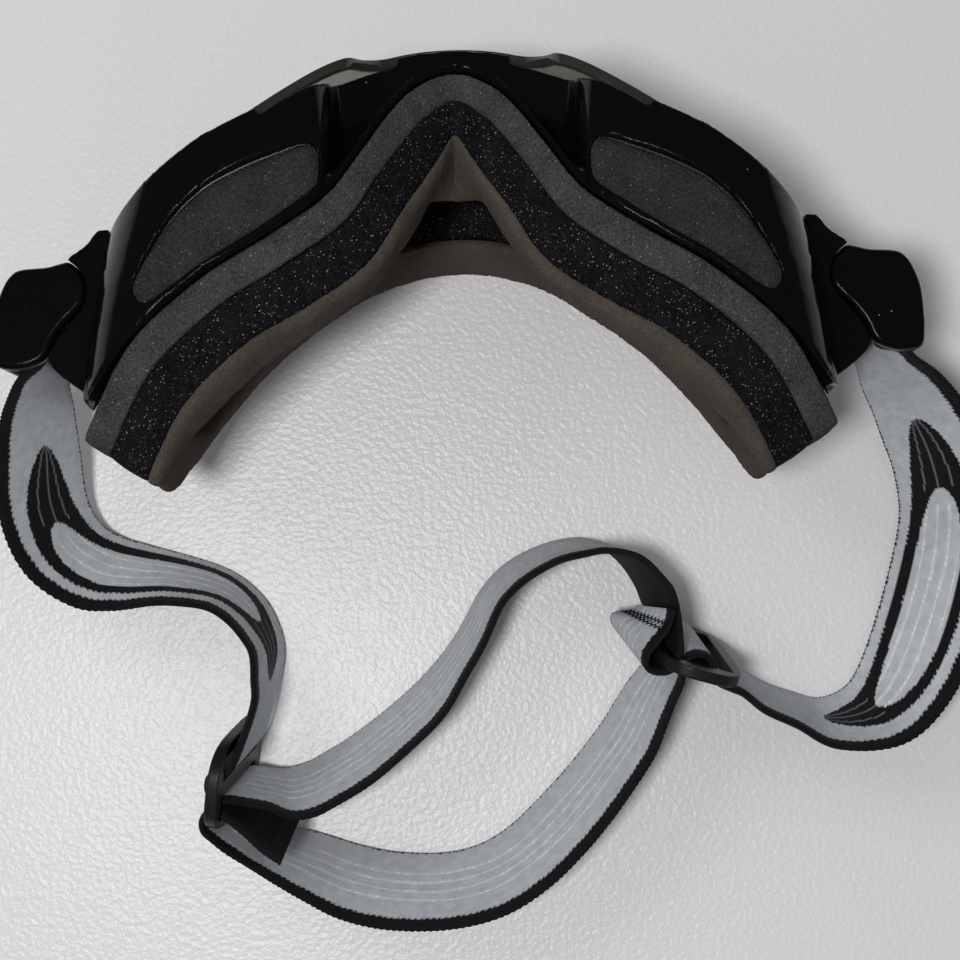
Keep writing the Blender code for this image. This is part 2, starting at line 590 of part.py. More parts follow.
# ---------------------------------------------------------------- outriggers
def build_outrigger(sign, tag, gloss, steel, web):
    """One outrigger with its pin and the strap anchor on its bar."""
    at = (sign * PIVOT[0], PIVOT[1], 0)
    pivot = empty("pivot_" + tag, at)

    plan = OUTRIGGER_PLAN + pivot_arc(KNUCKLE_R, *KNUCKLE_ARC)
    block = add("outrigger_" + tag, prism(on_side(plan, sign), *OUTRIGGER_Z), gloss, at, pivot)
    mouth_x = PIVOT[0] - TONGUE_SLOT_REACH
    slot = [(mouth_x, PIVOT[1] - TONGUE_SLOT_HALF),
            *pivot_arc(TONGUE_R + TONGUE_GAP, *HALF_ROUND),
            (mouth_x, PIVOT[1] + TONGUE_SLOT_HALF)]
    front_cut = prism(on_side(slot, sign), TONGUE_Z[0] - TONGUE_GAP, TONGUE_Z[1] + TONGUE_GAP)
    combine(block, "DIFFERENCE", "cut_front_" + tag, front_cut)
    rear_cut = prism(on_side(REAR_SLOT_PLAN, sign),
                     OUTRIGGER_Z[0] + OUTRIGGER_SHELF, OUTRIGGER_Z[1] - OUTRIGGER_SHELF)
    combine(block, "DIFFERENCE", "cut_rear_" + tag, rear_cut)
    pin_hole = pin_rod(sign, PIN_CUT_Z[0], PIN_Z[1] + PIN_TOP_GAP, PIN_HOLE_R)
    combine(block, "DIFFERENCE", "cut_pinhole_" + tag, pin_hole)
    low, high = (np.array(end) * [sign, 1, 1] for end in (STRAP_BAR_LOW, STRAP_BAR_HIGH))
    combine(block, "UNION", "add_bar_" + tag, rod(low, high, STRAP_BAR_R))

    add("outrigger_pin_" + tag, pin_rod(sign, *PIN_Z, PIN_R), steel, at, pivot)

    loop = sewn_loop((low + high) / 2, high - low, (sign * ANCHOR_SPLAY, -1, 0),
                     inner=ANCHOR_INNER_R, outer=ANCHOR_OUTER_R, height=STRAP_W)
    anchor = add("strap_anchor_" + tag, loop, web, at, pivot)
    combine(anchor, "UNION", "add_tail_" + tag, webbing(ANCHOR_TAILS[tag], thick=SEWN_T))


# ---------------------------------------------------------------- strap and sliders
def build_strap(web):
    slide = empty("strap_slide", STRAP_ORIGIN)
    for run, stations in STRAP_RUNS.items():
        add("strap_" + run, webbing(stations), web, STRAP_ORIGIN, slide)


def slider_axes(tag):
    """Centre of a slider and its unit axes: along the run, across the webbing and outward."""
    centre, across, normal = (np.array(v, float) for v in SLIDERS[tag])
    across = unit(across)
    normal = unit(normal - across * np.dot(normal, across))
    return centre, unit(np.cross(across, normal)), across, normal


def placed(axes, points):
    """Points given along, across and out from a slider, in the layout's coordinates."""
    centre, along, across, normal = axes
    return [centre + along * x + across * y + normal * z for x, y, z in points]


def slab(axes, outline, half):
    """An outline in the slider's plane, extruded by half to either side of it."""
    return tube([placed(axes, [(x, y, z) for x, y in outline]) for z in (-half, half)])


def slider_outline():
    """A rounded plate outline: x along the run, y across the webbing."""
    outline = []
    for i in range(OVAL_POINTS):
        angle = 2 * math.pi * i / OVAL_POINTS
        x, y = math.cos(angle), math.sin(angle)
        outline.append((math.copysign(abs(x) ** OVAL_POWERS[0], x) * SLIDER_L / 2,
                        math.copysign(abs(y) ** OVAL_POWERS[1], y) * SLIDER_W / 2))
    return outline


def strap_fold(axes):
    """The strip of webbing that follows FOLD_PATH through a slider."""
    path = catmull(FOLD_PATH, FOLD_STEPS, closed=False)
    travel = unit(np.gradient(path, axis=0))
    offset = np.column_stack([-travel[:, 1], travel[:, 0]]) * FOLD_T / 2
    half = STRAP_W / 2
    sections = []
    for (x1, z1), (x2, z2) in zip(path + offset, path - offset):
        corners = [(x1, -half, z1), (x1, half, z1), (x2, half, z2), (x2, -half, z2)]
        sections.append(placed(axes, corners))
    return tube(sections)


def build_slider(tag, matte, web):
    """One slider, the webbing folded through it and the sewn end looped round its far bar."""
    axes = slider_axes(tag)
    centre, along, across, _ = axes
    pivot = empty("slide_" + tag, centre)

    plate = add("slider_" + tag, slab(axes, slider_outline(), SLIDER_T / 2), matte, centre, pivot)
    slot_end = SLIDER_L / 2 - END_BAR
    for i, (x0, x1) in enumerate(((MID_BAR_HALF, slot_end), (-slot_end, -MID_BAR_HALF))):
        box = [(x0, -SLOT_HALF_W), (x1, -SLOT_HALF_W), (x1, SLOT_HALF_W), (x0, SLOT_HALF_W)]
        combine(plate, "DIFFERENCE", f"cut_slot_{tag}_{i}", slab(axes, box, SLOT_CUT_HALF))

    add("strap_fold_" + tag, strap_fold(axes), web, centre, pivot)

    bar = centre + along * (SLIDER_L / 2 - END_BAR / 2)
    loop = sewn_loop(bar, across, along, inner=END_INNER_R, outer=END_OUTER_R, height=END_W)
    end = add("strap_end_" + tag, loop, web, centre, pivot)
    tip = bar + along * END_TIP - across * END_W / 2
    flap = webbing(end_flap(tag, tip), width=END_W, thick=SEWN_T)
    combine(end, "UNION", "add_flap_" + tag, flap)


# ---------------------------------------------------------------- build
def build():
    for old in list(bpy.data.objects):
        bpy.data.objects.remove(old, do_unlink=True)

    gloss = material("gloss_black_plastic", colour=(0.008, 0.008, 0.01), roughness=0.12)
    clear = material("clear_lens", colour=(0.86, 0.88, 0.86), roughness=0.03, alpha=0.25)
    grey = material("grey_foam", colour=(0.07, 0.068, 0.065), roughness=0.95)
    black = material("black_foam", colour=(0.012, 0.012, 0.016), roughness=0.95)
    fleece = material("taupe_fleece", colour=(0.13, 0.115, 0.1), roughness=1.0)
    web = material("strap_webbing", colour=(0.36, 0.38, 0.40), roughness=0.85)
    steel = material("pin_steel", colour=(0.55, 0.55, 0.56), roughness=0.3, metallic=1.0)
    matte = material("matte_black_plastic", colour=(0.02, 0.02, 0.022), roughness=0.55)

    build_frame(gloss)
    add("lens", lens_body(), clear)
    build_face_foam(grey, black, fleece)
    build_vent_foam(grey)
    for sign, tag in SIDES:
        build_outrigger(sign, tag, gloss, steel, web)
    build_strap(web)
    for tag in SLIDERS:
        build_slider(tag, matte, web)


build()
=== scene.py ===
"""Motorcycle goggles, lying brow down: shell, lens, cut foam, fleece, woven strap and sliders.

Tables are in layout millimetres: x to the right, y towards the lens, z up from the floor, with
the brow at z = 0, the nose notch on top and the strap spread out behind, at negative y.
DATUM is the layout point at the origin of the frame.
"""

import math
from functools import cached_property

import bmesh
import bpy
import numpy as np
from mathutils import Matrix, Vector


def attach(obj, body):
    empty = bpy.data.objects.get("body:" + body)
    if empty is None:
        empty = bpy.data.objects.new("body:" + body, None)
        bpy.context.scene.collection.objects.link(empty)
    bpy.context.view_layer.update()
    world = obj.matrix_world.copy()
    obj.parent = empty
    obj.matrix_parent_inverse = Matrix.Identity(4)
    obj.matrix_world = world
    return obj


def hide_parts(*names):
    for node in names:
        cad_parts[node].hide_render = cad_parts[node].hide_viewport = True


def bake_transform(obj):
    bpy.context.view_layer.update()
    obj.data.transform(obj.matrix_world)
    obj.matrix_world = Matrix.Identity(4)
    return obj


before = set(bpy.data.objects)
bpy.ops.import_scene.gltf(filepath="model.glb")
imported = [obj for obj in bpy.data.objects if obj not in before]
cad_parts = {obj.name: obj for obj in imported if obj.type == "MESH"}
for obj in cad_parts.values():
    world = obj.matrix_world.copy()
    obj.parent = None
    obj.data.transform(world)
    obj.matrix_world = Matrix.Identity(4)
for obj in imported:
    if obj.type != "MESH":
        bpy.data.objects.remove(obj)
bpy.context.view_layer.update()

DATUM = np.array([0.0, 38.0, 0.0])
MM = 0.001
SIDES = ((1, "right"), (-1, "left"))  # sign of x, name

# ---------------------------------------------------------------- design tables, millimetres
# Half outlines run from the middle of the brow round to the middle of the nose.
RING_STEPS, FOAM_STEPS, FLEECE_STEPS = 7, 10, 14  # curve steps between outline points
WALL, LIP_FRONT, LIP_DEPTH, GROOVE, LENS_T, FIT = 2.5, 1.1, 3.6, 1.2, 2.0, 0.3
FLANGE_T, FLANGE_GAP = 1.3, 0.35
NOSE_LIP, TAB_END, TAB_SLOPE = 11.8, 41.0, 13.0  # x stations of the nose cut, and a slope's length
GREY_T, BLACK_T, FLEECE_T = 7.0, 10.0, 2.5
FOAM_DEPTH = GREY_T + BLACK_T + FLEECE_T
LAYER_GAP = 0.02

# x, y: the lens surface seen from above, right half
LENS_PLAN = [(0, 47.6), (12, 46.1), (24, 41.2), (34, 35.8), (43, 30.3), (53, 24.2), (63, 16.9),
             (72, 8.4), (80, -1.5)]
# x, z: lens end of the shell
FRONT_OUTLINE = [(0, 0), (15, 0), (30, 0), (44, 1.2), (56, 5), (65, 12), (70.5, 23), (72.5, 38),
                 (72.8, 52), (71, 64.5), (63, 73.5), (51, 77), (39, 77.6), (30.5, 76.4),
                 (26.5, 72), (23.5, 64.5), (12, 60.2), (0, 58.8)]
# x, y, z: face end of the shell
REAR_OUTLINE = [(0, 30.5, 0), (16, 28.5, 0), (31, 22.5, 0), (46, 12.5, 1.2), (59, 0.5, 5),
                (69.5, -11.5, 12), (76, -21.5, 23), (78.6, -25, 39), (78.6, -25, 54),
                (76.4, -24.6, 67), (67, -14.5, 75.3), (52.5, -2, 77.3), (38.5, 6.2, 77.3),
                (28.5, 13, 76), (25.5, 16.5, 71.5), (23.5, 20.5, 64.8), (13, 36.2, 61.2),
                (0, 43.6, 60)]
# x, z: edge of the lens
LENS_OUTLINE = [(0, 1.5), (15, 1.5), (30, 1.5), (43.6, 2.7), (55.2, 6.3), (63.8, 12.9),
                (69, 23.6), (71, 38), (71.3, 52), (69.6, 63.8), (62.2, 72.2), (50.8, 75.5),
                (38.8, 76.1), (27.5, 76), (21.5, 73.5), (18.8, 66.5), (15.4, 60.8), (11.6, 58.6),
                (0, 57.3)]
# x, y, z: the four edges of the foam, seat on the frame and face end, outer and inner
SEAT_OUTER = [(0, 30, 0.3), (15, 28, 0.3), (30, 22, 0.5), (44, 13, 2.0), (57, 1, 6),
              (68, -12, 13.5), (76, -25, 24), (79, -32.5, 40), (78.5, -32.5, 54),
              (76.5, -31.5, 65), (66.5, -15, 73.5), (52, -2.5, 75.6), (38, 6, 75.6),
              (26, 14.5, 74), (19, 24.5, 69.5), (12, 35, 63.5), (6.5, 40, 60.5), (0, 42.3, 59)]
FACE_OUTER = [(0, 8.4, 0.3), (10, 7.4, 0.3), (20.5, 3.8, 0.5), (32, -3.2, 2.0), (43.5, -13, 6),
              (53.5, -25, 13.5), (60.5, -36.5, 24), (62.5, -43, 40), (62.5, -43, 54),
              (62, -42, 65), (54, -29.5, 73.5), (42, -18, 75.2), (28.5, -10, 74.2),
              (17, -1.5, 72), (9.6, 10.6, 67), (5.2, 17.6, 62.5), (2.4, 23, 59), (0, 27.6, 57)]
FACE_INNER = [(0, 12.4, 16.5), (10.5, 11.3, 16.5), (21, 7.2, 16), (32, -0.8, 16),
              (42.5, -11, 18.5), (51, -22.5, 24), (56, -30.5, 30), (57.5, -31.5, 41),
              (57.5, -31.5, 52), (56.5, -32.5, 58), (49, -27.5, 61), (39, -18.5, 62.5),
              (28.2, -10.8, 61), (17.3, -1.8, 57.5), (9.4, 10.2, 50.5), (6.2, 17.2, 45),
              (3, 18, 44.2), (0, 18, 44)]
SEAT_INNER = [(0, 31.5, 16), (15.5, 29.5, 16), (29.5, 23.5, 16), (43, 14, 16.5), (55.5, 2.5, 20),
              (65.5, -9, 25), (72.6, -17.5, 31), (74, -20.5, 41), (74, -20.5, 52.5),
              (72, -19.5, 59.5), (63.5, -11, 62), (50.5, 1, 63.5), (38, 9, 62.5), (25, 17, 60),
              (17.5, 25.5, 55), (11.5, 33.5, 50), (6.5, 37, 47.5), (0, 38.5, 46)]
# points of FACE_INNER that the foam moves, by index
FOAM_SHIFTS = {10: (51.0, -28.4, 61), 11: (40.2, -18.4, 62.5)}
# how far the flange reaches from the inner seat edge to the outer, by index; elsewhere all the way
FLANGE_REACH = {6: 0.75, 7: 0.45, 8: 0.45, 9: 0.6}

# x, y: vent windows of the right side
VENT_CHEEK = [(29.7, 24.6), (36, 22.6), (43, 19.9), (50.5, 16), (56.5, 10.6), (61, 4.5),
              (64.6, -2), (65, -5.2), (62.6, -6.9), (57, -3.4), (51.4, 0.6), (41.3, 6.6),
              (33.5, 11.8), (28.6, 15.4), (27.4, 18.4), (27.6, 22.6)]
VENT_BROW = [(15.5, 36.6), (24, 33.6), (33, 28.6), (42, 22.6), (45, 19), (43.6, 17), (36, 22.4),
             (27, 27.4), (17.5, 31.3), (14.6, 33.6)]
# name, window, z range of the cut, z of the pad's flat and domed faces, height of the dome
VENTS = (("cheek", VENT_CHEEK, (71, 90), 72.0, 75.6, 0.5),
         ("brow", VENT_BROW, (-10, 5), 6.3, 1.6, -0.4))
PAD_INSET = 0.1

# outrigger hinge; plans are x, y on the right side
PIVOT = (85.0, -1.5)
OUTRIGGER_Z = (23.0, 57.0)
OUTRIGGER_ROUND = 1.3
OUTRIGGER_PLAN = [(84, 4.4), (86.5, 3.8), (91.8, 3.4), (94, 2.1), (95.6, -0.4), (97, -4.5),
                  (97.5, -10), (97.5, -14), (97.1, -16.4), (95.8, -17.5), (92, -17.8),
                  (88.4, -16.8), (86.4, -15.2), (84.5, -11.2), (82.1, -8.1), (80.6, -6.7),
                  (79.1, -5.0)]
KNUCKLE_R, SOCKET_R = 7.13, 7.25
WING_Z = (22.0, 58.0)
WING_FRONT = [(73.4, -7), (72.6, 11.4), (75.4, 11), (77.2, 8.6), (79.2, 6.9), (81, 5.9)]
WING_REAR = [(84.0, -11.4), (85.5, -14.9), (85.7, -16.6), (84, -18.8), (80.7, -21.4),
             (78.4, -22.9), (77.2, -22.0), (76.2, -20)]
TONGUE_R, TONGUE_ROOT_X, TONGUE_Z = 3.6, 76.0, (30.0, 50.0)
SLOT_R, SLOT_LENGTH, SLOT_REAR, SLOT_FRONT, SLOT_PLAY = 4.5, 11, 8.2, 10.2, 0.6
CAVITY_PLAN = [(77, -8.6), (94.8, -8.6), (95.7, -12), (95.9, -16.2), (96.0, -24), (77, -24)]
CAVITY_WALL = 2.4
PIN_HOLE_R, BORE_BOTTOM, WING_BORE_TOP, BORE_TOP = 1.8, 10, 70, 54.8
BAR_LOW, BAR_HIGH, BAR_R = (90.2, -14.6, 23.8), (91.6, -14.6, 56.2), 1.7
HALF_CIRCLE = np.linspace(-math.pi / 2, math.pi / 2, 15)

STRAP_W, STRAP_T = 27.6, 1.5
SLIDER_W, SLIDER_L, SLIDER_T = 39.0, 20.0, 2.6
SLIDER_BAR, SLIDER_MID, SLIDER_SLOT = 2.8, 1.6, 14.5  # end bar, half middle bar, half slot width
# centre, direction of the width, direction of the normal
SLIDERS = {"left": ((-53.0, -105.0, 19.6), (-0.15, -0.20, 0.968), (-0.99, 0.15, 0.0)),
           "right": ((49.5, -80.5, 19.4), (0.10, -0.27, 0.957), (0.28, 0.96, 0.0))}


# ---------------------------------------------------------------- curves and outlines
def unit(v):
    v = np.asarray(v, float)
    return v / np.maximum(np.linalg.norm(v, axis=-1, keepdims=True), 1e-9)


def smooth_step(x):
    x = np.clip(x, 0, 1)
    return x * x * (3 - 2 * x)


def spline(points, steps, closed):
    """A Catmull-Rom curve through the points."""
    p = np.asarray(points, float)
    n = len(p)
    out = []
    for i in range(n if closed else n - 1):
        if closed:
            a, b, c, d = p[(i - 1) % n], p[i], p[(i + 1) % n], p[(i + 2) % n]
        else:
            b, c = p[i], p[i + 1]
            a = p[i - 1] if i else 2 * b - c
            d = p[i + 2] if i + 2 < n else 2 * c - b
        for s in range(steps):
            t = s / steps
            out.append(0.5 * ((2 * b) + (c - a) * t + (2 * a - 5 * b + 4 * c - d) * t * t
                              + (3 * b - a - 3 * c + d) * t ** 3))
    if not closed:
        out.append(p[-1])
    return np.array(out)


def whole(half, steps=RING_STEPS):
    """The closed ring of a half outline and its mirror image."""
    half = np.asarray(half, float)
    other = half[-2:0:-1].copy()
    other[:, 0] *= -1
    return spline(np.vstack([half, other]), steps, True)


plan = np.array(LENS_PLAN, float)
LENS_CURVE = spline(np.vstack([plan[:0:-1] * [-1, 1], plan]), 12, False)


def lens_y(x):
    return np.interp(x, LENS_CURVE[:, 0], LENS_CURVE[:, 1])


def inward(ring):
    """Directions to the inside of a ring, seen along y."""
    t = np.roll(ring, -1, 0) - np.roll(ring, 1, 0)
    return unit(np.column_stack([-t[:, -1], np.zeros(len(t)), t[:, 0]]))


def inset(plan, by):
    p = np.asarray(plan, float)
    x, y = p[:, 0], p[:, 1]
    area = 0.5 * np.sum(x * np.roll(y, -1) - np.roll(x, -1) * y)
    before, after = unit(p - np.roll(p, 1, 0)), unit(np.roll(p, -1, 0) - p)
    normal = unit(np.column_stack([-(before[:, 1] + after[:, 1]), before[:, 0] + after[:, 0]]))
    return p + normal * (1 if area > 0 else -1) * by


def on_side(plan, sign):
    """A plan drawn for the right side, mirrored where the sign is negative."""
    return plan if sign > 0 else [(-x, y) for x, y in plan][::-1]


def pivot_arc(radius, angles):
    return [(PIVOT[0] + radius * math.cos(a), PIVOT[1] + radius * math.sin(a)) for a in angles]


# ---------------------------------------------------------------- solids, as vertices and faces
def skin_faces(sections, size, closed=False):
    """Quads between successive sections of so many points each."""
    return [(i * size + j, i * size + (j + 1) % size,
             (i + 1) % sections * size + (j + 1) % size, (i + 1) % sections * size + j)
            for i in range(sections if closed else sections - 1) for j in range(size)]


def end_caps(sections, size):
    return [tuple(range(size))[::-1], tuple(range((sections - 1) * size, sections * size))]


def torus(sections):
    n, k = len(sections), len(sections[0])
    return np.array(sections, float).reshape(-1, 3), skin_faces(n, k, closed=True)


def tube(sections):
    n, k = len(sections), len(sections[0])
    return np.array(sections, float).reshape(-1, 3), skin_faces(n, k) + end_caps(n, k)


def prism(plan, z0, z1):
    return tube([[(x, y, z) for x, y in plan] for z in (z0, z1)])


def pillow(plan, z0, z1, r):
    """A prism whose two ends are rounded over by r."""
    angles = np.linspace(0, math.pi / 2, 6)[::-1]
    low = [(z0 + r * (1 - math.sin(a)), r * (1 - math.cos(a))) for a in angles]
    rows = low + [(z1 - (z - z0), by) for z, by in low[::-1]]
    return tube([[(x, y, z) for x, y in inset(plan, by)] for z, by in rows])


def rod(low, high, radius, sides=32):
    """A cylinder between two points, one well above the other."""
    low, high = np.array(low, float), np.array(high, float)
    axis = unit(high - low)
    u = unit(np.cross(axis, [0, 1, 0]))
    v = np.cross(axis, u)
    turns = [2 * math.pi * i / sides for i in range(sides)]
    rim = [u * math.cos(a) + v * math.sin(a) for a in turns]
    return tube([[end + radius * r for r in rim] for end in (low, high)])


# ---------------------------------------------------------------- meshes and objects
def raw_mesh(name, verts, faces):
    """A mesh in metres from layout millimetres."""
    mesh = bpy.data.meshes.new(name)
    verts = (np.asarray(verts, float) - DATUM) * MM
    mesh.from_pydata(verts.tolist(), [], [tuple(int(i) for i in f) for f in faces])
    return mesh


def add_object(mesh, material=None):
    """A smooth object from a mesh, its normals turned outwards."""
    bm = bmesh.new()
    bm.from_mesh(mesh)
    bmesh.ops.recalc_face_normals(bm, faces=bm.faces)
    bm.to_mesh(mesh)
    bm.free()
    mesh.shade_smooth()
    if material is not None:
        mesh.materials.append(material)
    return link(mesh.name, mesh)


def link(name, data):
    obj = bpy.data.objects.new(name, data)
    bpy.context.scene.collection.objects.link(obj)
    return obj


def solid(name, verts_faces, material=None):
    return add_object(raw_mesh(name, *verts_faces), material)


def register(obj, body, cad):
    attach(obj, body)
    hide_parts(cad)


def modify(obj, kind, **settings):
    """Add one modifier and apply it."""
    modifier = obj.modifiers.new(kind.lower(), kind)
    for key, value in settings.items():
        setattr(modifier, key, value)
    bpy.context.view_layer.update()
    depsgraph = bpy.context.evaluated_depsgraph_get()
    mesh = bpy.data.meshes.new_from_object(obj.evaluated_get(depsgraph))
    materials = list(obj.data.materials)
    obj.modifiers.clear()
    obj.data = mesh
    if not mesh.materials:
        for material in materials:
            mesh.materials.append(material)


def volume(obj):
    bm = bmesh.new()
    bm.from_mesh(obj.data)
    v = bm.calc_volume(signed=True)
    bm.free()
    return v


def boolean(obj, verts_faces, kind):
    """Cut or join a solid; a result of the wrong volume is undone and the next solver tried."""
    tool = solid("tool", verts_faces)
    before = volume(obj)
    for solver in ("EXACT", "MANIFOLD"):
        backup = obj.data.copy()
        modify(obj, "BOOLEAN", object=tool, operation=kind, solver=solver)
        after = volume(obj)
        grown, shrunk = after >= before * 0.999, after <= before * 1.001
        if after > 0.5 * before and (grown if kind == "UNION" else shrunk):
            break
        obj.data = backup
    bpy.data.objects.remove(tool)


def cut(obj, verts_faces):
    boolean(obj, verts_faces, "DIFFERENCE")


def join(obj, verts_faces):
    boolean(obj, verts_faces, "UNION")


def moulded(obj, voxel, rounds, ratio=None):
    """Voxel remesh and smoothing, which round every edge as a mould does."""
    modify(obj, "REMESH", mode="VOXEL", voxel_size=voxel * MM, adaptivity=0.0)
    modify(obj, "SMOOTH", factor=0.5, iterations=rounds)
    if ratio:
        modify(obj, "DECIMATE", ratio=ratio)
    obj.data.shade_smooth()


# ---------------------------------------------------------------- materials
class Shader:
    """The node tree of a material or world, with short ways to add to it."""

    def __init__(self, owner, main, settings):
        owner.use_nodes = True
        self.owner = owner
        self.tree = owner.node_tree
        self.main = self.tree.nodes[main]
        self.relief = None
        self.feed(self.main, settings)

    def feed(self, node, inputs):
        """Link sockets and set plain values."""
        for key, value in inputs.items():
            if isinstance(value, bpy.types.NodeSocket):
                self.tree.links.new(value, node.inputs[key])
            else:
                node.inputs[key].default_value = value

    def add(self, kind, inputs, **properties):
        node = self.tree.nodes.new("ShaderNode" + kind)
        for key, value in properties.items():
            setattr(node, key, value)
        self.feed(node, inputs)
        return node

    @cached_property
    def coords(self):
        source = self.add("TexCoord", {}).outputs["Object"]
        return self.add("Mapping", {"Vector": source}).outputs["Vector"]

    def noise(self, scale, **inputs):
        inputs = {"Vector": self.coords, "Scale": scale, **inputs}
        return self.add("TexNoise", inputs).outputs["Fac"]

    def cells(self, scale):
        return self.add("TexVoronoi", {"Vector": self.coords, "Scale": scale}).outputs

    def maths(self, operation, *values):
        return self.add("Math", dict(enumerate(values)), operation=operation).outputs[0]

    def map_range(self, value, inputs):
        return self.add("MapRange", {"Value": value, **inputs}).outputs["Result"]

    def mix(self, factor, a, b, blend="MIX"):
        inputs = {"Factor": factor, "A": a, "B": b}
        node = self.add("Mix", inputs, data_type="RGBA", blend_type=blend)
        return node.outputs["Result"]

    def ramp(self, source, low, high):
        """Colours between two stops, each a position and a colour."""
        node = self.add("ValToRGB", {"Fac": source})
        for element, (position, colour) in zip(node.color_ramp.elements, (low, high)):
            element.position, element.color = position, (*colour, 1)
        return node.outputs["Color"]

    def bump(self, height, strength, distance):
        """Relief on the surface, over any made before."""
        inputs = {"Height": height, "Strength": strength, "Distance": distance}
        if self.relief is not None:
            inputs["Normal"] = self.relief
        self.relief = self.add("Bump", inputs).outputs["Normal"]
        self.feed(self.main, {"Normal": self.relief})


def surface(name, settings):
    return Shader(bpy.data.materials.new(name), "Principled BSDF", settings)


def grey(level):
    return (level,) * 3


def gloss_black():
    """Glossy moulded plastic with pale dust specks."""
    black = (0.0022, 0.0022, 0.0026, 1)
    s = surface("gloss_black", {"Base Color": black, "Specular IOR Level": 0.36})
    sheen = s.noise(scale=260.0, Detail=2.0)
    roughness = s.ramp(sheen, low=(0.35, grey(0.10)), high=(0.75, grey(0.13)))
    dust = s.cells(scale=170.0)["Distance"]
    spot = s.ramp(dust, low=(0.018, grey(1)), high=(0.030, grey(0)))
    colour = s.mix(spot, black, (0.25, 0.25, 0.25, 1))
    s.feed(s.main, {"Roughness": roughness, "Base Color": colour})
    return s.owner


def matte_black():
    s = surface("slider_black", {"Base Color": (0.0085, 0.0092, 0.009, 1), "Roughness": 0.42})
    s.bump(s.noise(scale=1800.0, Detail=2.0), strength=0.25, distance=0.00012)
    return s.owner


def lens_material():
    return surface("lens_clear", {"Base Color": (0.50, 0.49, 0.44, 1), "Roughness": 0.06,
                                  "IOR": 1.5, "Transmission Weight": 0.96}).owner


def foam(name, dark, light, glint, share, mottle_scale):
    """Open-cell cut foam: pores, mottling and painted glints on a share of the cells."""
    s = surface(name, {"Roughness": 0.95, "Specular IOR Level": 0.12})
    mottle = s.noise(scale=mottle_scale, Detail=4.0)
    grain = s.noise(scale=2100.0, Detail=2.0, Roughness=0.6)
    pores = s.cells(scale=2300.0)["Distance"]
    tone = s.maths("MULTIPLY_ADD", mottle, 0.4, grain)
    colour = s.ramp(tone, low=(0.45, dark), high=(0.95, light))
    # cell scale, size of the painted glints and share of the cells lit
    for scale, size, lit in ((620.0, 0.10, share * 0.5), (980.0, 0.15, share),
                             (1700.0, 0.24, share)):
        glint_cells = s.cells(scale)
        spot = s.ramp(glint_cells["Distance"], low=(size * 0.5, grey(1)), high=(size, grey(0)))
        pick = s.add("TexWhiteNoise", {"Vector": glint_cells["Color"]}).outputs["Value"]
        few = s.map_range(pick, {"From Min": 1 - lit})
        # painted glints: bright specks mixed into the foam's base colour
        colour = s.mix(s.maths("MULTIPLY", spot, few), colour, (*glint, 1))
    s.feed(s.main, {"Base Color": colour})
    s.bump(pores, strength=0.6, distance=0.00035)
    s.bump(grain, strength=0.7, distance=0.0004)
    return s.owner


def fleece_material():
    s = surface("fleece", {"Roughness": 1.0, "Specular IOR Level": 0.1, "Sheen Weight": 0.12,
                           "Sheen Roughness": 0.5, "Sheen Tint": (0.5, 0.42, 0.36, 1)})
    mottle = s.noise(scale=90.0, Detail=4.0)
    fibres = s.noise(scale=2300.0, Detail=3.0, Roughness=0.7)
    tone = s.maths("MULTIPLY_ADD", mottle, 0.5, fibres)
    colour = s.ramp(tone, low=(0.45, (0.030, 0.025, 0.021)), high=(1.05, (0.115, 0.096, 0.080)))
    s.feed(s.main, {"Base Color": colour})
    s.bump(fibres, strength=1.0, distance=0.0007)
    return s.owner


def webbing():
    """Knitted elastic: tint and silicone come from the mesh, the stitches from its UV map."""
    rib_pitch, stitch_pitch = 0.62, 0.55  # millimetres across and along the strap
    stitch_depth = 0.55  # against the ribs
    s = surface("webbing", {})
    tint = s.add("Attribute", {}, attribute_name="tint", attribute_type="GEOMETRY")
    weave = s.add("UVMap", {}, uv_map="weave").outputs["UV"]
    place = s.add("SeparateXYZ", {0: weave}).outputs
    mottle = s.noise(scale=420.0, Detail=3.0)
    shade = s.ramp(mottle, low=(0.3, grey(0.86)), high=(0.7, grey(1.06)))
    colour = s.mix(1.0, tint.outputs["Color"], shade, blend="MULTIPLY")
    ribs, stitches = [
        s.maths("SINE", s.maths("MULTIPLY", place[axis], 2 * math.pi / pitch))
        for axis, pitch in (("X", rib_pitch), ("Y", stitch_pitch))]
    knit = s.maths("MULTIPLY_ADD", ribs, 1.0, s.maths("MULTIPLY", stitches, stitch_depth))
    fuzz = s.noise(scale=2600.0, Detail=2.0)
    s.bump(knit, strength=0.22, distance=0.0001)
    s.bump(fuzz, strength=0.5, distance=0.0002)
    silicone = s.add("Attribute", {}, attribute_name="silicone", attribute_type="GEOMETRY")
    roughness = s.map_range(silicone.outputs["Fac"], {"To Min": 0.88, "To Max": 0.18})
    s.feed(s.main, {"Base Color": colour, "Roughness": roughness})
    return s.owner


def thread_material():
    s = surface("thread_black", {"Base Color": (0.006, 0.006, 0.007, 1), "Roughness": 0.6})
    s.bump(s.noise(scale=4000.0), strength=0.4, distance=0.0001)
    return s.owner


def steel_material():
    s = surface("pin_steel", {"Metallic": 1.0, "Base Color": (0.55, 0.55, 0.56, 1)})
    brushed = s.noise(scale=700.0)
    roughness = s.ramp(brushed, low=(0.3, grey(0.2)), high=(0.7, grey(0.34)))
    s.feed(s.main, {"Roughness": roughness})
    return s.owner


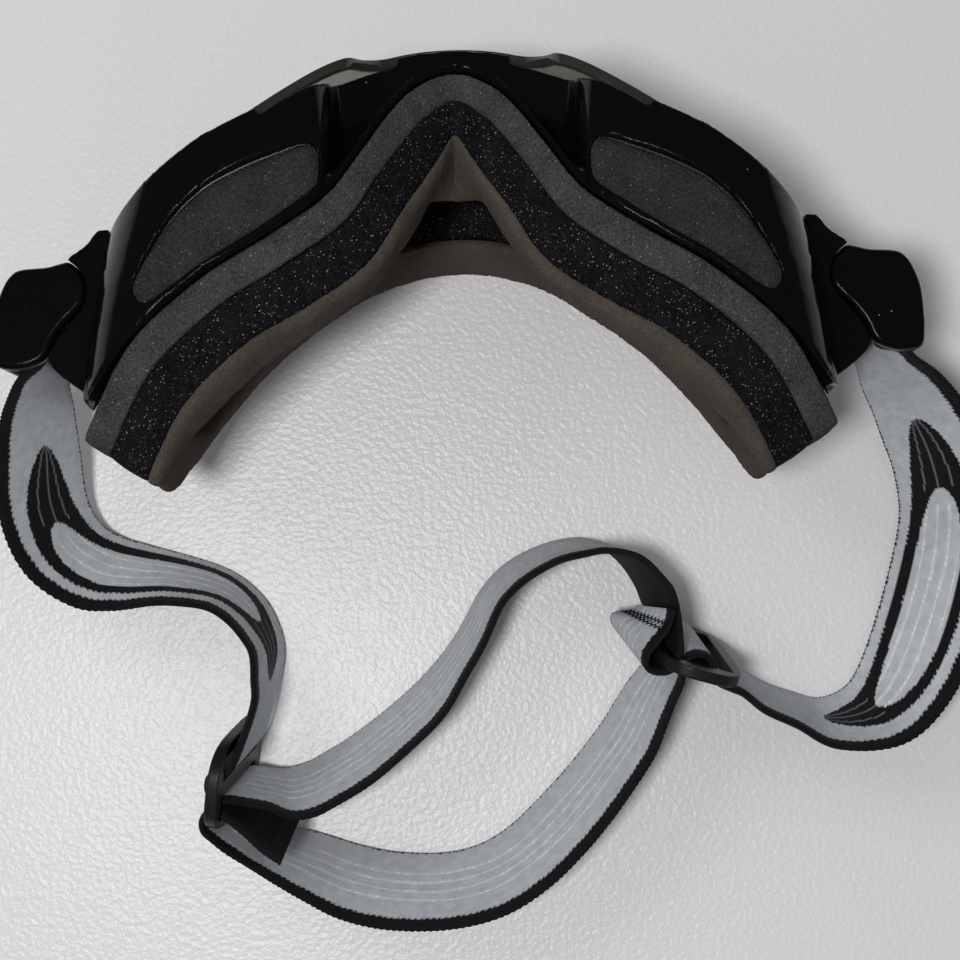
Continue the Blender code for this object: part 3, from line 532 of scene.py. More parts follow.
PLASTIC, SLIDER_PLASTIC, LENS_CLEAR = gloss_black(), matte_black(), lens_material()
FOAM_GREY = foam("foam_grey", dark=(0.0195, 0.0190, 0.0183), light=(0.075, 0.0725, 0.068),
                 glint=(0.34, 0.33, 0.32), share=0.22, mottle_scale=150.0)
FOAM_VENT = foam("foam_vent", dark=(0.012, 0.0115, 0.011), light=(0.044, 0.041, 0.038),
                 glint=(0.24, 0.24, 0.24), share=0.16, mottle_scale=160.0)
FOAM_BLACK = foam("foam_black", dark=(0.0012, 0.0012, 0.0015), light=(0.0125, 0.0126, 0.0145),
                  glint=(0.33, 0.34, 0.36), share=0.55, mottle_scale=180.0)
FLEECE, WEBBING, THREAD, STEEL = fleece_material(), webbing(), thread_material(), steel_material()


# ---------------------------------------------------------------- shell
def wall_sections():
    """Sections of the wall, one for each point round the ring, from the lens lip to the rear."""
    crown_height, step_back, seat_clearance = 0.9, 0.1, 0.45
    outline, rear = whole(FRONT_OUTLINE), whole(REAR_OUTLINE)
    x, z = outline[:, 0], np.maximum(outline[:, 1], 0)
    rear[:, 2] = np.maximum(rear[:, 2], 0)
    front = np.column_stack([x, lens_y(x) + LIP_FRONT, z])
    front_inward, rear_inward = inward(front), inward(rear)
    seat, seat_inner, face = whole(SEAT_OUTER), whole(SEAT_INNER), whole(FACE_OUTER)
    to_face = unit(np.cross(np.roll(seat, -1, 0) - np.roll(seat, 1, 0), seat_inner - seat))
    to_face *= np.sign(np.sum(to_face * (face - seat), axis=1))[:, None]
    sections = []
    for i in range(len(front)):
        start, end, a, b = front[i], rear[i], front_inward[i], rear_inward[i]
        # the wall is crowned at the sides and top, and flat along the brow
        upright = abs(a[0]) > 0.5 and start[2] < 70
        crown = 1.0 if upright else smooth_step((start[2] - 60) / 4)
        outer, inner = [], []
        for t in (1 / 6, 1 / 3, 1 / 2, 2 / 3, 5 / 6):
            n = unit(a * (1 - t) + b * t)
            p = start + (end - start) * t - n * (crown_height * math.sin(math.pi * t)) * crown
            outer.append(p)
            inner.append(p + n * WALL)

        def at(depth, y):
            """A point inside the front edge, y in front of the lens surface."""
            x = start[0] + a[0] * depth
            return np.array([x, float(lens_y(x)) + y, start[2] + a[2] * depth])

        # inner points must step steadily back from the lens
        front_in = at(WALL, -LENS_T - FIT)
        last = front_in[1]
        for q in inner:
            q[1] = min(q[1], last - step_back)
            last = q[1]
        rear_in = end + b * WALL
        rear_in[1] = min(rear_in[1], last - step_back)
        # and the last one stays clear of the foam seat
        forward = unit(inner[-1] - rear_in)
        past = float(np.dot(rear_in - seat[i], to_face[i])) + seat_clearance
        if past > 0:
            rear_in = rear_in + forward * past / max(0.25, -float(np.dot(forward, to_face[i])))
        sections.append([at(LIP_DEPTH, LIP_FRONT), at(0, LIP_FRONT), *outer, end, rear_in,
                         *inner[::-1], front_in, at(GROOVE, -LENS_T - FIT), at(GROOVE, 0.2),
                         at(LIP_DEPTH, 0.2)])
    return sections


def flange_sections():
    """The flat ring in front of the foam seat."""
    margin, overlap = 1.2, 0.4
    outer, inner = np.asarray(SEAT_OUTER, float), np.asarray(SEAT_INNER, float)
    reach = outer.copy()
    for k, share in FLANGE_REACH.items():
        reach[k] = inner[k] + (outer[k] - inner[k]) * share
    reach, outer, inner = whole(reach), whole(outer), whole(inner)
    face_outer, face_inner = whole(FACE_OUTER), whole(FACE_INNER)
    near, far = FLANGE_GAP, FLANGE_GAP + FLANGE_T + overlap
    sections = []
    for i in range(len(reach)):
        forward = -unit((face_outer[i] - outer[i]) + (face_inner[i] - inner[i]))
        edge = inner[i] + unit(reach[i] - inner[i]) * margin
        sections.append([reach[i] + forward * near, reach[i] + forward * far,
                         edge + forward * far, edge + forward * near])
    return sections


def lens_window():
    """The cut in front of the wall at the top, over the nose."""
    slope_end = TAB_END + TAB_SLOPE
    half = [(x, float(lens_y(x)) - 0.5) for x in np.linspace(0, NOSE_LIP, 5)]
    half += [(x, float(lens_y(x)) - LENS_T - FIT) for x in np.linspace(NOSE_LIP, TAB_END - 1.5, 9)]
    half += [(x, float(lens_y(x)) - 0.3 + 1.75 * (x - TAB_END) / TAB_SLOPE)
             for x in np.linspace(TAB_END - 1.0, slope_end, 8)]
    half += [(x, float(lens_y(x)) + 7) for x in np.linspace(slope_end, 0, 9)]
    return prism(half + [(-x, y) for x, y in half[-2:0:-1]], 52, 95)


def build_shell():
    shell = solid("shell", torus(wall_sections()), PLASTIC)
    cut(shell, lens_window())
    join(shell, torus(flange_sections()))
    socket = pivot_arc(SOCKET_R, np.radians(np.linspace(118, 228, 20)))
    wing = (WING_FRONT + socket + list(spline(WING_REAR, 4, False)))[::-1]
    tongue = [(TONGUE_ROOT_X, PIVOT[1] - TONGUE_R), *pivot_arc(TONGUE_R, HALF_CIRCLE),
              (TONGUE_ROOT_X, PIVOT[1] + TONGUE_R)]
    for sign, _ in SIDES:
        join(shell, prism(on_side(wing, sign), *WING_Z))
        join(shell, prism(on_side(tongue, sign), *TONGUE_Z))
        at = (sign * PIVOT[0], PIVOT[1])
        cut(shell, rod((*at, BORE_BOTTOM), (*at, WING_BORE_TOP), PIN_HOLE_R))
        for _, window, z_range, *_ in VENTS:
            cut(shell, prism(on_side(spline(window, 4, True), sign), *z_range))
    moulded(shell, voxel=0.5, rounds=5, ratio=0.52)
    register(shell, "frame", "frame_shell")


def build_lens():
    """Vertical strips of the lens surface between its lower and upper edge."""
    columns, rows, widest_z, tip = 181, 24, 52.0, 0.05
    mirror = [(-x, z) for x, z in LENS_OUTLINE]
    low = spline(mirror[9:0:-1] + LENS_OUTLINE[:10], 12, False)
    high = spline(mirror[8:] + LENS_OUTLINE[-2:7:-1], 12, False)
    half_width = min(low[:, 0].max(), high[:, 0].max()) - tip
    low = low[low[:, 1] <= widest_z]
    low, high = low[np.argsort(low[:, 0])], high[np.argsort(high[:, 0])]
    xs = half_width * np.sin(np.linspace(-math.pi / 2, math.pi / 2, columns))
    z_low, z_high = np.interp(xs, low[:, 0], low[:, 1]), np.interp(xs, high[:, 0], high[:, 1])
    z_high = np.maximum(z_high, z_low + 0.6)
    verts, faces = [], []
    for dy in (0, -LENS_T):
        for x, z0, z1 in zip(xs, z_low, z_high):
            y = float(lens_y(x)) + dy
            verts += [(x, y, z0 + (z1 - z0) * r / rows) for r in range(rows + 1)]
    k, n = rows + 1, columns
    for side in (0, n * k):
        faces += [(side + i * k + r, side + (i + 1) * k + r, side + (i + 1) * k + r + 1,
                   side + i * k + r + 1) for i in range(n - 1) for r in range(rows)]
    rim = [i * k for i in range(n)] + [(n - 1) * k + r for r in range(1, k)]
    rim += [i * k + rows for i in range(n - 2, -1, -1)] + list(range(rows - 1, 0, -1))
    faces += [(a, b, n * k + b, n * k + a) for a, b in zip(rim, rim[1:] + rim[:1])]
    lens = solid("lens_clear", (verts, faces), LENS_CLEAR)
    modify(lens, "BEVEL", width=0.0004, segments=2, limit_method="ANGLE",
           angle_limit=math.radians(55))
    lens.data.shade_smooth()
    lens.data.set_sharp_from_angle(angle=math.radians(40))
    register(lens, "frame", "lens")


# ---------------------------------------------------------------- foam and fleece
def foam_rings(steps):
    """Rings of the seat's outer, face's outer, face's inner and seat's inner edge."""
    inner = [FOAM_SHIFTS.get(k, p) for k, p in enumerate(FACE_INNER)]
    return [whole(table, steps) for table in (SEAT_OUTER, FACE_OUTER, inner, SEAT_INNER)]


def wobble(n, amount, waves, seed):
    """A smooth closed random wave along a ring."""
    rng = np.random.default_rng(seed)
    x = np.linspace(0, 2 * math.pi, n, endpoint=False)
    out = np.zeros(n)
    for k in range(3, waves):
        out += rng.normal() * np.sin(k * x + rng.uniform(0, 6.28)) / k ** 0.7
    return out * amount / np.abs(out).max()


def above_floor(sections):
    sections = np.array(sections)
    sections[:, :, 2] = np.maximum(sections[:, :, 2], 0.05)
    return torus(sections)


def read_points(items, key):
    values = np.zeros(len(items) * 3)
    items.foreach_get(key, values)
    return values.reshape(-1, 3)


def write_points(mesh, points):
    """Set vertex places in metres, none below the floor."""
    points[:, 2] = np.maximum(points[:, 2], 0.00003)
    mesh.vertices.foreach_set("co", points.ravel())
    mesh.update()


def fuzz(obj, amount, seed):
    """One subdivision, then a fine random roughness along the normals."""
    modify(obj, "SUBSURF", levels=1, render_levels=1)
    mesh = obj.data
    points, normals = read_points(mesh.vertices, "co"), read_points(mesh.vertex_normals, "vector")
    rough = np.random.default_rng(seed).normal(size=len(points)) * amount * MM
    limit = 2.5e-3 * amount
    write_points(mesh, points + normals * np.clip(rough, -limit, limit)[:, None])
    mesh.shade_smooth()


def foam_layer(name, start, end, material, bulge, edge_round, seed):
    """A foam ring between two depths behind the seat, with rounded edges and wavy sides."""
    a, b, c, d = foam_rings(FOAM_STEPS)
    n = len(a)
    s0, s1 = start / FOAM_DEPTH, end / FOAM_DEPTH
    wave_outer, wave_inner = wobble(n, 0.28, 60, seed), wobble(n, 0.28, 60, seed + 1)
    wave_end = wobble(n, 0.18, 50, seed + 2)
    sections = []
    for i in range(n):
        o0, o1 = a[i] + (b[i] - a[i]) * s0, a[i] + (b[i] - a[i]) * s1
        i0, i1 = d[i] + (c[i] - d[i]) * s0, d[i] + (c[i] - d[i]) * s1
        depth = unit((o1 - o0) + (i1 - i0))
        across = unit(o0 - i0)
        length = np.linalg.norm(o1 - o0)
        r = min(edge_round, length / 3)
        corner = r / length
        stops = (0.0, corner * 0.35, corner, 0.25, 0.5, 0.75, 1 - corner, 1 - corner * 0.35, 1.0)

        def side(p0, p1, outwards, wave):
            """Points along one side, from the frame end to the face end."""
            points = []
            for t in stops:
                edge = 1 - min(1, min(t, 1 - t) * length / r)
                rounding = r * (1 - math.sqrt(max(0, 1 - edge ** 2)))
                off = bulge * math.sin(math.pi * t) + wave - rounding
                points.append(p0 + (p1 - p0) * t + outwards * off + depth * (wave_end[i] * t))
            return points

        section = side(o0, o1, across, wave_outer[i])
        for t in (0.12, 0.3, 0.5, 0.7, 0.88):
            swell = wave_end[i] + 0.15 * math.sin(math.pi * t)
            section.append(o1 + (i1 - o1) * t + depth * swell)
        section += side(i0, i1, -across, wave_inner[i])[::-1]
        section += [o0 + (i0 - o0) * t for t in (0.75, 0.5, 0.25)]
        sections.append(section)
    obj = solid(name, above_floor(sections), material)
    fuzz(obj, 0.05, seed)
    return obj


def swell(obj, pinned, cap, pressure=4.0):
    """A short cloth pressure run, with some vertices held and travel capped in millimetres."""
    frames = 20
    rest = read_points(obj.data.vertices, "co")
    group = obj.vertex_groups.new(name="bond")
    group.add(pinned, 1.0, "REPLACE")
    cloth = obj.modifiers.new("cloth", "CLOTH")
    cloth.settings.quality = 6
    cloth.settings.mass = 0.3
    cloth.settings.use_pressure = True
    cloth.settings.uniform_pressure_force = pressure
    cloth.settings.vertex_group_mass = "bond"
    cloth.settings.effector_weights.gravity = 0
    cloth.point_cache.frame_start, cloth.point_cache.frame_end = 1, frames
    scene = bpy.context.scene
    for k in range(1, frames + 1):
        scene.frame_set(k)
    evaluated = obj.evaluated_get(bpy.context.evaluated_depsgraph_get())
    move = read_points(evaluated.to_mesh().vertices, "co") - rest
    evaluated.to_mesh_clear()
    far = np.linalg.norm(move, axis=1)
    move *= np.minimum(1.0, cap * MM / np.maximum(far, 1e-9))[:, None]
    obj.modifiers.clear()
    obj.vertex_groups.clear()
    write_points(obj.data, rest + np.nan_to_num(move))
    scene.frame_set(1)


def build_fleece():
    """The soft cover on the face end of the black foam, wrapped over its inner edge."""
    a, b, c, d = foam_rings(FLEECE_STEPS)
    n = len(a)
    s0 = (GREY_T + BLACK_T - 0.1) / FOAM_DEPTH
    wave_outer, wave_inner = wobble(n, 0.35, 70, 31), wobble(n, 0.35, 70, 32)
    wave_face = wobble(n, 0.25, 60, 33)
    sections = []
    for i in range(n):
        w_out, w_in, w_face = wave_outer[i], wave_inner[i], wave_face[i]
        o0, o1 = a[i] + (b[i] - a[i]) * s0, b[i]
        i0, i1 = d[i] + (c[i] - d[i]) * s0, c[i]
        depth = unit((o1 - o0) + (i1 - i0))
        across = unit(o1 - i1)
        forward = unit(d[i] - c[i])
        # the inner wrap is longer towards the temples
        wrap = 1.2 + 4.4 * float(smooth_step((abs(c[i][0]) - 40.0) / 14.0))
        section = [o0, o0 + across * 0.15, (o0 + o1) / 2 + across * (0.55 + w_out),
                   o1 + across * (0.1 + w_out) - depth * 0.3,
                   o1 - across * 0.8 + depth * (0.35 + w_face)]
        for t in (0.2, 0.4, 0.6, 0.8):
            puff = 0.35 + 0.15 * math.sin(math.pi * t) + w_face
            section.append(o1 + (i1 - o1) * t + depth * puff)
        section += [i1 + across * 0.8 + depth * (0.3 + w_face),
                    i1 - across * (0.35 + w_in) - depth * 0.4]
        for t in (0.25, 0.5, 0.75, 1.0):
            section.append(i1 + forward * wrap * t - across * (0.75 + w_in - 0.45 * t * t))
        section += [i1 + forward * (wrap + 0.5) + across * 0.1, i0 + across * 0.9]
        sections.append(section)
    obj = solid("face_fleece_layer", above_floor(sections), FLEECE)
    k = len(sections[0])
    swell(obj, [i * k + j for i in range(n) for j in (0, 1, k - 2, k - 1)], cap=0.9)
    fuzz(obj, 0.07, 77)
    register(obj, "frame", "face_fleece")


def vent_pad(plan, z_flat, z_domed, dome):
    """A pad of concentric rings, domed on its outer face."""
    rings = 10
    ring = spline(plan, 6, True)
    centre = ring.mean(axis=0)
    k = len(ring)
    verts, faces = [], []
    for z, bulge in ((z_domed, dome), (z_flat, 0)):
        base = len(verts)
        verts.append((centre[0], centre[1], z + bulge))
        for r in range(1, rings + 1):
            share = r / rings
            verts += [(x, y, z + bulge * (1 - share ** 4))
                      for x, y in centre + (ring - centre) * share]
        faces += [(base, base + 1 + j, base + 1 + (j + 1) % k) for j in range(k)]
        for r in range(rings - 1):
            o = base + 1 + r * k
            faces += [(o + j, o + (j + 1) % k, o + k + (j + 1) % k, o + k + j) for j in range(k)]
    half = 1 + rings * k
    o = 1 + (rings - 1) * k
    faces += [(o + j, o + (j + 1) % k, half + o + (j + 1) % k, half + o + j) for j in range(k)]
    return verts, faces


def build_foams():
    base = foam_layer("face_foam_grey", 0.0, GREY_T - LAYER_GAP, FOAM_GREY,
                      bulge=0.35, edge_round=0.5, seed=11)
    register(base, "frame", "face_foam_base")
    core = foam_layer("face_foam_black", GREY_T + LAYER_GAP, GREY_T + BLACK_T - LAYER_GAP,
                      FOAM_BLACK, bulge=0.45, edge_round=0.6, seed=21)
    register(core, "frame", "face_foam_core")
    build_fleece()
    for sign, tag in SIDES:
        for name, window, _, *heights in VENTS:
            plan = on_side(inset(window, PAD_INSET), sign)
            pad = solid(f"vent_foam_{name}_pad_{tag}", vent_pad(plan, *heights), FOAM_VENT)
            register(pad, "frame", f"vent_foam_{name}_{tag}")


# ---------------------------------------------------------------- outriggers
def build_outriggers():
    knuckle = pivot_arc(KNUCKLE_R, np.radians(np.linspace(205, 116, 18)))
    plan = list(spline(OUTRIGGER_PLAN, 4, False)) + knuckle
    slot_x = PIVOT[0] - SLOT_LENGTH
    slot = [(slot_x, PIVOT[1] - SLOT_REAR), *pivot_arc(SLOT_R, HALF_CIRCLE),
            (slot_x, PIVOT[1] + SLOT_FRONT)]
    for sign, tag in SIDES:
        body = solid("outrigger_shell_" + tag,
                     pillow(on_side(plan, sign), *OUTRIGGER_Z, OUTRIGGER_ROUND), PLASTIC)
        cut(body, prism(on_side(slot, sign), TONGUE_Z[0] - SLOT_PLAY, TONGUE_Z[1] + SLOT_PLAY))
        cut(body, prism(on_side(CAVITY_PLAN, sign), OUTRIGGER_Z[0] + CAVITY_WALL,
                        OUTRIGGER_Z[1] - CAVITY_WALL))
        at = (sign * PIVOT[0], PIVOT[1])
        cut(body, rod((*at, BORE_BOTTOM), (*at, BORE_TOP), PIN_HOLE_R))
        join(body, rod(*bar_ends(sign), BAR_R))
        moulded(body, voxel=0.3, rounds=8)
        register(body, "outrigger_" + tag, "outrigger_" + tag)
        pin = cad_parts["outrigger_pin_" + tag]
        pin.data.materials.clear()
        pin.data.materials.append(STEEL)


def bar_ends(sign):
    """The strap bar of an outrigger, bottom and top."""
    return [np.array([sign * x, y, z]) for x, y, z in (BAR_LOW, BAR_HIGH)]


# ---------------------------------------------------------------- sliders
def slider_axes(tag):
    """Centre, and directions of length, width and normal."""
    centre, width, normal = (np.array(v, float) for v in SLIDERS[tag])
    width = unit(width)
    normal = unit(normal - width * np.dot(normal, width))
    return centre, unit(np.cross(width, normal)), width, normal


def slider_prism(tag, plan, half_height):
    """A prism on a slider from a plan of (along its length, along its width)."""
    centre, u, w, n = slider_axes(tag)
    return tube([[centre + u * x + w * y + n * z for x, y in plan]
                 for z in (-half_height, half_height)])


def oval(length, width, count=96):
    out = []
    for i in range(count):
        a = 2 * math.pi * i / count
        c, s = math.cos(a), math.sin(a)
        out.append((math.copysign(abs(c) ** 0.7, c) * length / 2,
                    math.copysign(abs(s) ** 0.5, s) * width / 2))
    return out


def build_sliders():
    half, far = SLIDER_SLOT, SLIDER_L / 2 - SLIDER_BAR
    for tag in SLIDERS:
        plate = solid("slider_plate_" + tag,
                      slider_prism(tag, oval(SLIDER_L, SLIDER_W), SLIDER_T / 2), SLIDER_PLASTIC)
        for x0, x1 in ((SLIDER_MID, far), (-far, -SLIDER_MID)):
            box = [(x0, -half), (x1, -half), (x1, half), (x0, half)]
            cut(plate, slider_prism(tag, box, 6))
        moulded(plate, voxel=0.22, rounds=8)
        register(plate, "slider_" + tag, "slider_" + tag)


# ---------------------------------------------------------------- strap
# Round a bar: offset along u and along v of the bar, then any tilt of the width towards u and v.
ANCHOR_PATH = [(-2.2, -2.9), (-2.8, -1.8), (-2.9, -0.3), (-2.0, 1.6), (0, 2.6), (2.1, 1.4),
               (2.7, -1.2)]
FOLD_PATH = [(-12.0, -3.4), (-8.6, -2.9), (-5.4, -2.3), (-3.6, -0.6), (-2.9, 1.3), (-1.5, 2.5),
             (0, 2.75), (1.5, 2.5), (2.9, 1.3), (3.2, -0.8), (2.8, -3.2)]
# Free runs: x, y, z of the lower edge, then lean in degrees to the right of travel.
# Each route: front run to its own slider, fold there, back run to the other slider, end on its
# bar, and distance from the outrigger to the woven figure.
ROUTES = {
    "left": dict(
        front=[(-87.8, -18.6, 24.6, 12), (-87.6, -22.4, 21.2, 19), (-87.9, -27.5, 15.4, 26),
               (-87.9, -34, 11, 31), (-87.3, -42.9, 6.5, 36), (-84.6, -48.6, 3.5, 40),
               (-80.3, -51.6, 1.5, 40), (-74.5, -53.6, 0.4, 35), (-66, -56.2, 0, 26),
               (-57.7, -59.1, 0, 21), (-51.9, -62.5, 0, 18), (-47.1, -67.5, 0, 16),
               (-44.2, -73.6, 0, 13), (-43.3, -79, 0.8, 10), (-44.2, -85, 2.8, 7),
               (-45.6, -91.0, 5.2, 4)],
        fold=FOLD_PATH[2:],
        back=[(-44.8, -106.2, 4.2, 14), (-41.4, -106.0, 2.4, 20), (-38.4, -105.2, 1.0, 22.5),
              (-35.6, -104, 0.2, 22.5), (-27.6, -99.4, 0, 22.5), (-18.8, -93, 0, 21),
              (-11.7, -86.9, 0, 19.5), (-5.7, -80.5, 0, 15), (-1.4, -74.4, 0, 13.5),
              (3, -66.7, 0, 12), (7.3, -61.7, 0, 12), (12.6, -58.1, 0, 11.5),
              (19.7, -55.4, 0, 10), (26.9, -54.6, 0, 8.5), (32.5, -56.6, 0, 3),
              (36.6, -60.7, 0.4, -5), (39.4, -65.6, 1.6, -9), (41.0, -70.0, 3.2, -11)],
        end=[(-3.0, 3.6, 0, 0), (-3.2, 0.6, 0, 0), (-2.4, -2.3, 0, 0), (0.2, -3.4, 0, 0),
             (3.3, -2.9, -0.06, 0), (5.0, -0.6, -0.14, 0.02), (4.4, 1.9, -0.18, 0.08),
             (2.6, 3.9, -0.14, 0.18), (1.7, 5.6, -0.08, 0.24), (1.5, 7.6, -0.04, 0.27)],
        figure=18.5),
    "right": dict(
        front=[(88.7, -18.6, 24.8, -12), (90.4, -22.6, 20.6, -18), (93.6, -27.2, 14, -26),
               (96.8, -33.3, 8, -34), (99.7, -39.6, 4, -38), (101.4, -47, 1, -42),
               (101.3, -52.8, 0, -44), (99.4, -61, 0, -48), (95.7, -73.3, 0, -48),
               (91.4, -84.6, 0, -42), (87.6, -90.4, 0, -33), (81.3, -93.0, 0, -21),
               (74.5, -91.4, 0.8, -14), (67.4, -88.9, 3.0, -12)],
        fold=FOLD_PATH,
        back=[(41.4, -82.8, 4.6, -16), (37.8, -87.0, 2.4, -20), (34.4, -92.0, 0.8, -23),
              (31.2, -97.0, 0.2, -25.5), (25.7, -104, 0, -27), (20.7, -109.6, 0, -28.5),
              (15.4, -115, 0, -29.5), (8.7, -121, 0, -30), (1.7, -125, 0, -30.5),
              (-6.7, -126.8, 0, -30.5), (-17.4, -126.4, 0, -31), (-26, -124.6, 0, -30),
              (-34, -122, 0.2, -26), (-41.0, -120.0, 1.4, -21), (-47.2, -118.6, 3.2, -15)],
        end=[(4.4, -3.0, 0.1, 0), (3.6, 0.6, 0, 0), (2.1, 2.6, 0, 0), (-0.4, 3.0, 0, 0),
             (-2.6, 1.4, 0, 0), (-2.6, -2.2, 0.05, 0), (-0.6, -7.0, 0.12, 0),
             (1.0, -11.5, 0.25, 0), (2.2, -15.6, 0.32, 0)],
        figure=23.6),
}
SERRATION = 2 * math.pi / 1.25  # the edge repeats every 1.25 mm


def run_stations(rows):
    """Stations of webbing standing on its lower edge: edge point and width direction."""
    travel = unit(np.gradient(np.array([r[:2] for r in rows], float), axis=0))
    out = []
    for (x, y, z, lean), t in zip(rows, travel):
        lean = math.radians(lean)
        z += 0.5 * STRAP_T * abs(math.sin(lean)) + 0.05
        side = np.array([t[1], -t[0], 0.0])
        up = np.array([0, 0, 1.0])
        out.append((np.array([x, y, z]), side * math.sin(lean) + up * math.cos(lean)))
    return out


def bar_stations(centre, u, w, v, path):
    """Stations round a bar along w."""
    out = []
    for a, b, *tilt in path:
        width = unit(w + u * tilt[0] + v * tilt[1]) if tilt else w
        out.append((centre + u * a + v * b - width * STRAP_W / 2, width))
    return out


def anchor_stations(sign):
    """The loop round the outrigger's bar; u points to the frame, v to the lens."""
    low, high = bar_ends(sign)
    w = unit(high - low)
    u = unit(np.array([-sign, 0, 0]) - w * np.dot([-sign, 0, 0], w))
    return bar_stations((low + high) / 2, u, w, unit(np.cross(w, u)) * -sign, ANCHOR_PATH)


class Ribbon:
    """Webbing through a list of stations, resampled evenly."""

    def __init__(self, stations, step=0.45, fine=24):
        low = np.array([s[0] for s in stations])
        high = np.array([s[0] + s[1] * STRAP_W for s in stations])
        low, high = spline(low, fine, False), spline(high, fine, False)
        hops = np.linalg.norm(np.diff((low + high) / 2, axis=0), axis=1)
        s = np.concatenate([[0], np.cumsum(hops)])
        self.station_s = s[::fine]
        self.s = np.linspace(0, s[-1], int(s[-1] / step) + 1)
        self.low, self.high = (
            np.column_stack([np.interp(self.s, s, edge[:, k]) for k in range(3)])
            for edge in (low, high))
        self.width = unit(self.high - self.low)
        self.along = unit(np.gradient((self.low + self.high) / 2, axis=0))
        self.normal = unit(np.cross(self.along, self.width))

    def index(self, s):
        return int(np.argmin(np.abs(self.s - s)))

    def middle(self, s):
        """The middle of the webbing at length s, in metres."""
        i = self.index(s)
        return layout((self.low[i] + self.high[i]) / 2)


def layout(p):
    """A layout point in the frame, in metres."""
    return tuple((np.asarray(p, float) - DATUM) * MM)


def leaf(s, t, start):
    """The woven figure: a black leaf round a pale tongue, with thin pale lines."""
    middle, half_length, tongue_s, tongue_half = 0.45, 44.8, 47.6, 27.7
    u = np.clip(np.abs((s - start - half_length) / half_length), 0, 1)
    v = np.clip(np.abs((s - start - tongue_s) / tongue_half), 0, 1)
    leaf_half = 0.33 * (1 - u ** 2.8) ** 0.62
    tongue_width = 0.225 * (1 - v ** 3.0) ** 0.5
    wave = 0.006 * np.sin(s * SERRATION)
    off = np.abs(t - middle)
    tongue = (off < tongue_width + wave * 0.5) & (v < 1)
    black = (off < leaf_half + wave) & (u < 1) & ~tongue
    lines = np.minimum(off, np.abs(off - leaf_half * 0.5))
    return black, black & (lines < 0.008) & (v >= 1)


def weave_colours(s, t, inner, figure):
    """Tint and silicone gloss at length s and height t (0 to 1); figure is its start or None."""
    pale = np.array([0.50, 0.525, 0.555])
    ink = np.array([0.0045, 0.0045, 0.0055])
    tint = np.tile(pale, (len(s), 1))
    # black edges with stepped borders
    ripple = 0.0072 * np.sign(np.sin(s * SERRATION)) + 0.004 * np.sin(s * 3.1)
    black = (t > 0.872 + ripple) | (t < 0.028 + ripple * 0.6)
    # four wavy silicone lines
    lines = np.zeros(len(s))
    for height in (0.30, 0.415, 0.53, 0.645):
        off = np.abs(t - height - 0.006 * np.sin(s * 0.21 + 9 * height))
        lines = np.maximum(lines, np.clip(1.6 - off / 0.009, 0, 1))
    if figure is not None:
        leaf_black, leaf_lines = leaf(s, t, figure)
        black |= leaf_black
        lines *= ((s > figure + 24) & (s < figure + 84) & (np.abs(t - 0.45) < 0.2) & ~leaf_black)
    # the silicone lines are made lighter, with painted glints (spark) added on them
    glint_pattern = np.sin(s * 7.3 + t * 90) * np.sin(s * 3.1) * np.sin(s * 0.53 + t * 20)
    spark = lines * (glint_pattern > 0.42)
    tint += lines[:, None] * 0.17 + spark[:, None] * 0.25
    tint[black] = ink
    if figure is not None:
        tint[leaf_lines] = pale * 0.3
    tint[~inner] = ink * 1.25
    patchy = np.sin(s * 9.7) * np.sin(s * 2.3 + t * 40) * np.sin(s * 0.71 + 3 * t)
    silicone = np.where(inner & ~black, lines * np.clip(0.25 + 1.2 * patchy, 0.15, 1), 0)
    return tint, np.clip(silicone, 0, 1)


def strap_half(t):
    """Half thickness at height t, with a bead near each edge."""
    off = np.abs(2 * t - 1)
    half = 0.5 * STRAP_T * (1 - off ** 14) ** 0.5
    bead = (0.16 * np.exp(-(((t - 0.965) / 0.03) ** 2))
            + 0.14 * np.exp(-(((t - 0.02) / 0.02) ** 2)))
    return half + bead * (off < 0.999)


def ribbon_piece(name, ribbon, first, last, inner_sign, figure):
    """Webbing between two samples; inner_sign turns the ribbon's normal to the inner face."""
    samples = slice(first, last + 1)
    s, low, width = ribbon.s[samples], ribbon.low[samples], ribbon.width[samples]
    normal = ribbon.normal[samples] * inner_sign
    serration = 0.22 * np.sin(s * SERRATION)
    points = [(t, 1) for t in np.linspace(0, 1, 64)]
    points += [(t, -1) for t in np.linspace(1, 0, 18)[1:-1]]
    rows = []
    for t, face in points:
        edge = np.clip((abs(2 * t - 1) - 0.9) / 0.1, 0, 1)
        jag = np.sign(2 * t - 1) * serration * edge
        rows.append(low + width * (t * STRAP_W) + width * jag[:, None]
                    + normal * (face * strap_half(t)))
    k, n = len(rows), len(s)
    verts = np.stack(rows, axis=1).reshape(-1, 3)
    verts[:, 2] = np.maximum(verts[:, 2], 0.02)
    faces = skin_faces(n, k)
    start_cap, end_cap = end_caps(n, k)
    if first == 0:
        faces.append(start_cap)
    if last == len(ribbon.s) - 1:
        faces.append(end_cap)
    mesh = raw_mesh(name, verts, faces)
    s = np.repeat(s, k)
    t = np.tile(np.array([t for t, _ in points]), n)
    inner = np.tile(np.array([face > 0 for _, face in points]), n)
    tint, silicone = weave_colours(s, t, inner, figure)
    tint = np.column_stack([tint, np.ones(len(tint))]).astype(np.float32)
    attribute = mesh.attributes.new("tint", "FLOAT_COLOR", "POINT")
    attribute.data.foreach_set("color", tint.ravel())
    attribute = mesh.attributes.new("silicone", "FLOAT", "POINT")
    attribute.data.foreach_set("value", silicone.astype(np.float32))
    uv = mesh.uv_layers.new(name="weave")
    loops = np.zeros(len(mesh.loops), np.int32)
    mesh.loops.foreach_get("vertex_index", loops)
    weave = np.column_stack([t[loops] * STRAP_W, s[loops]]).astype(np.float32)
    uv.data.foreach_set("uv", weave.ravel())
    return add_object(mesh, WEBBING)


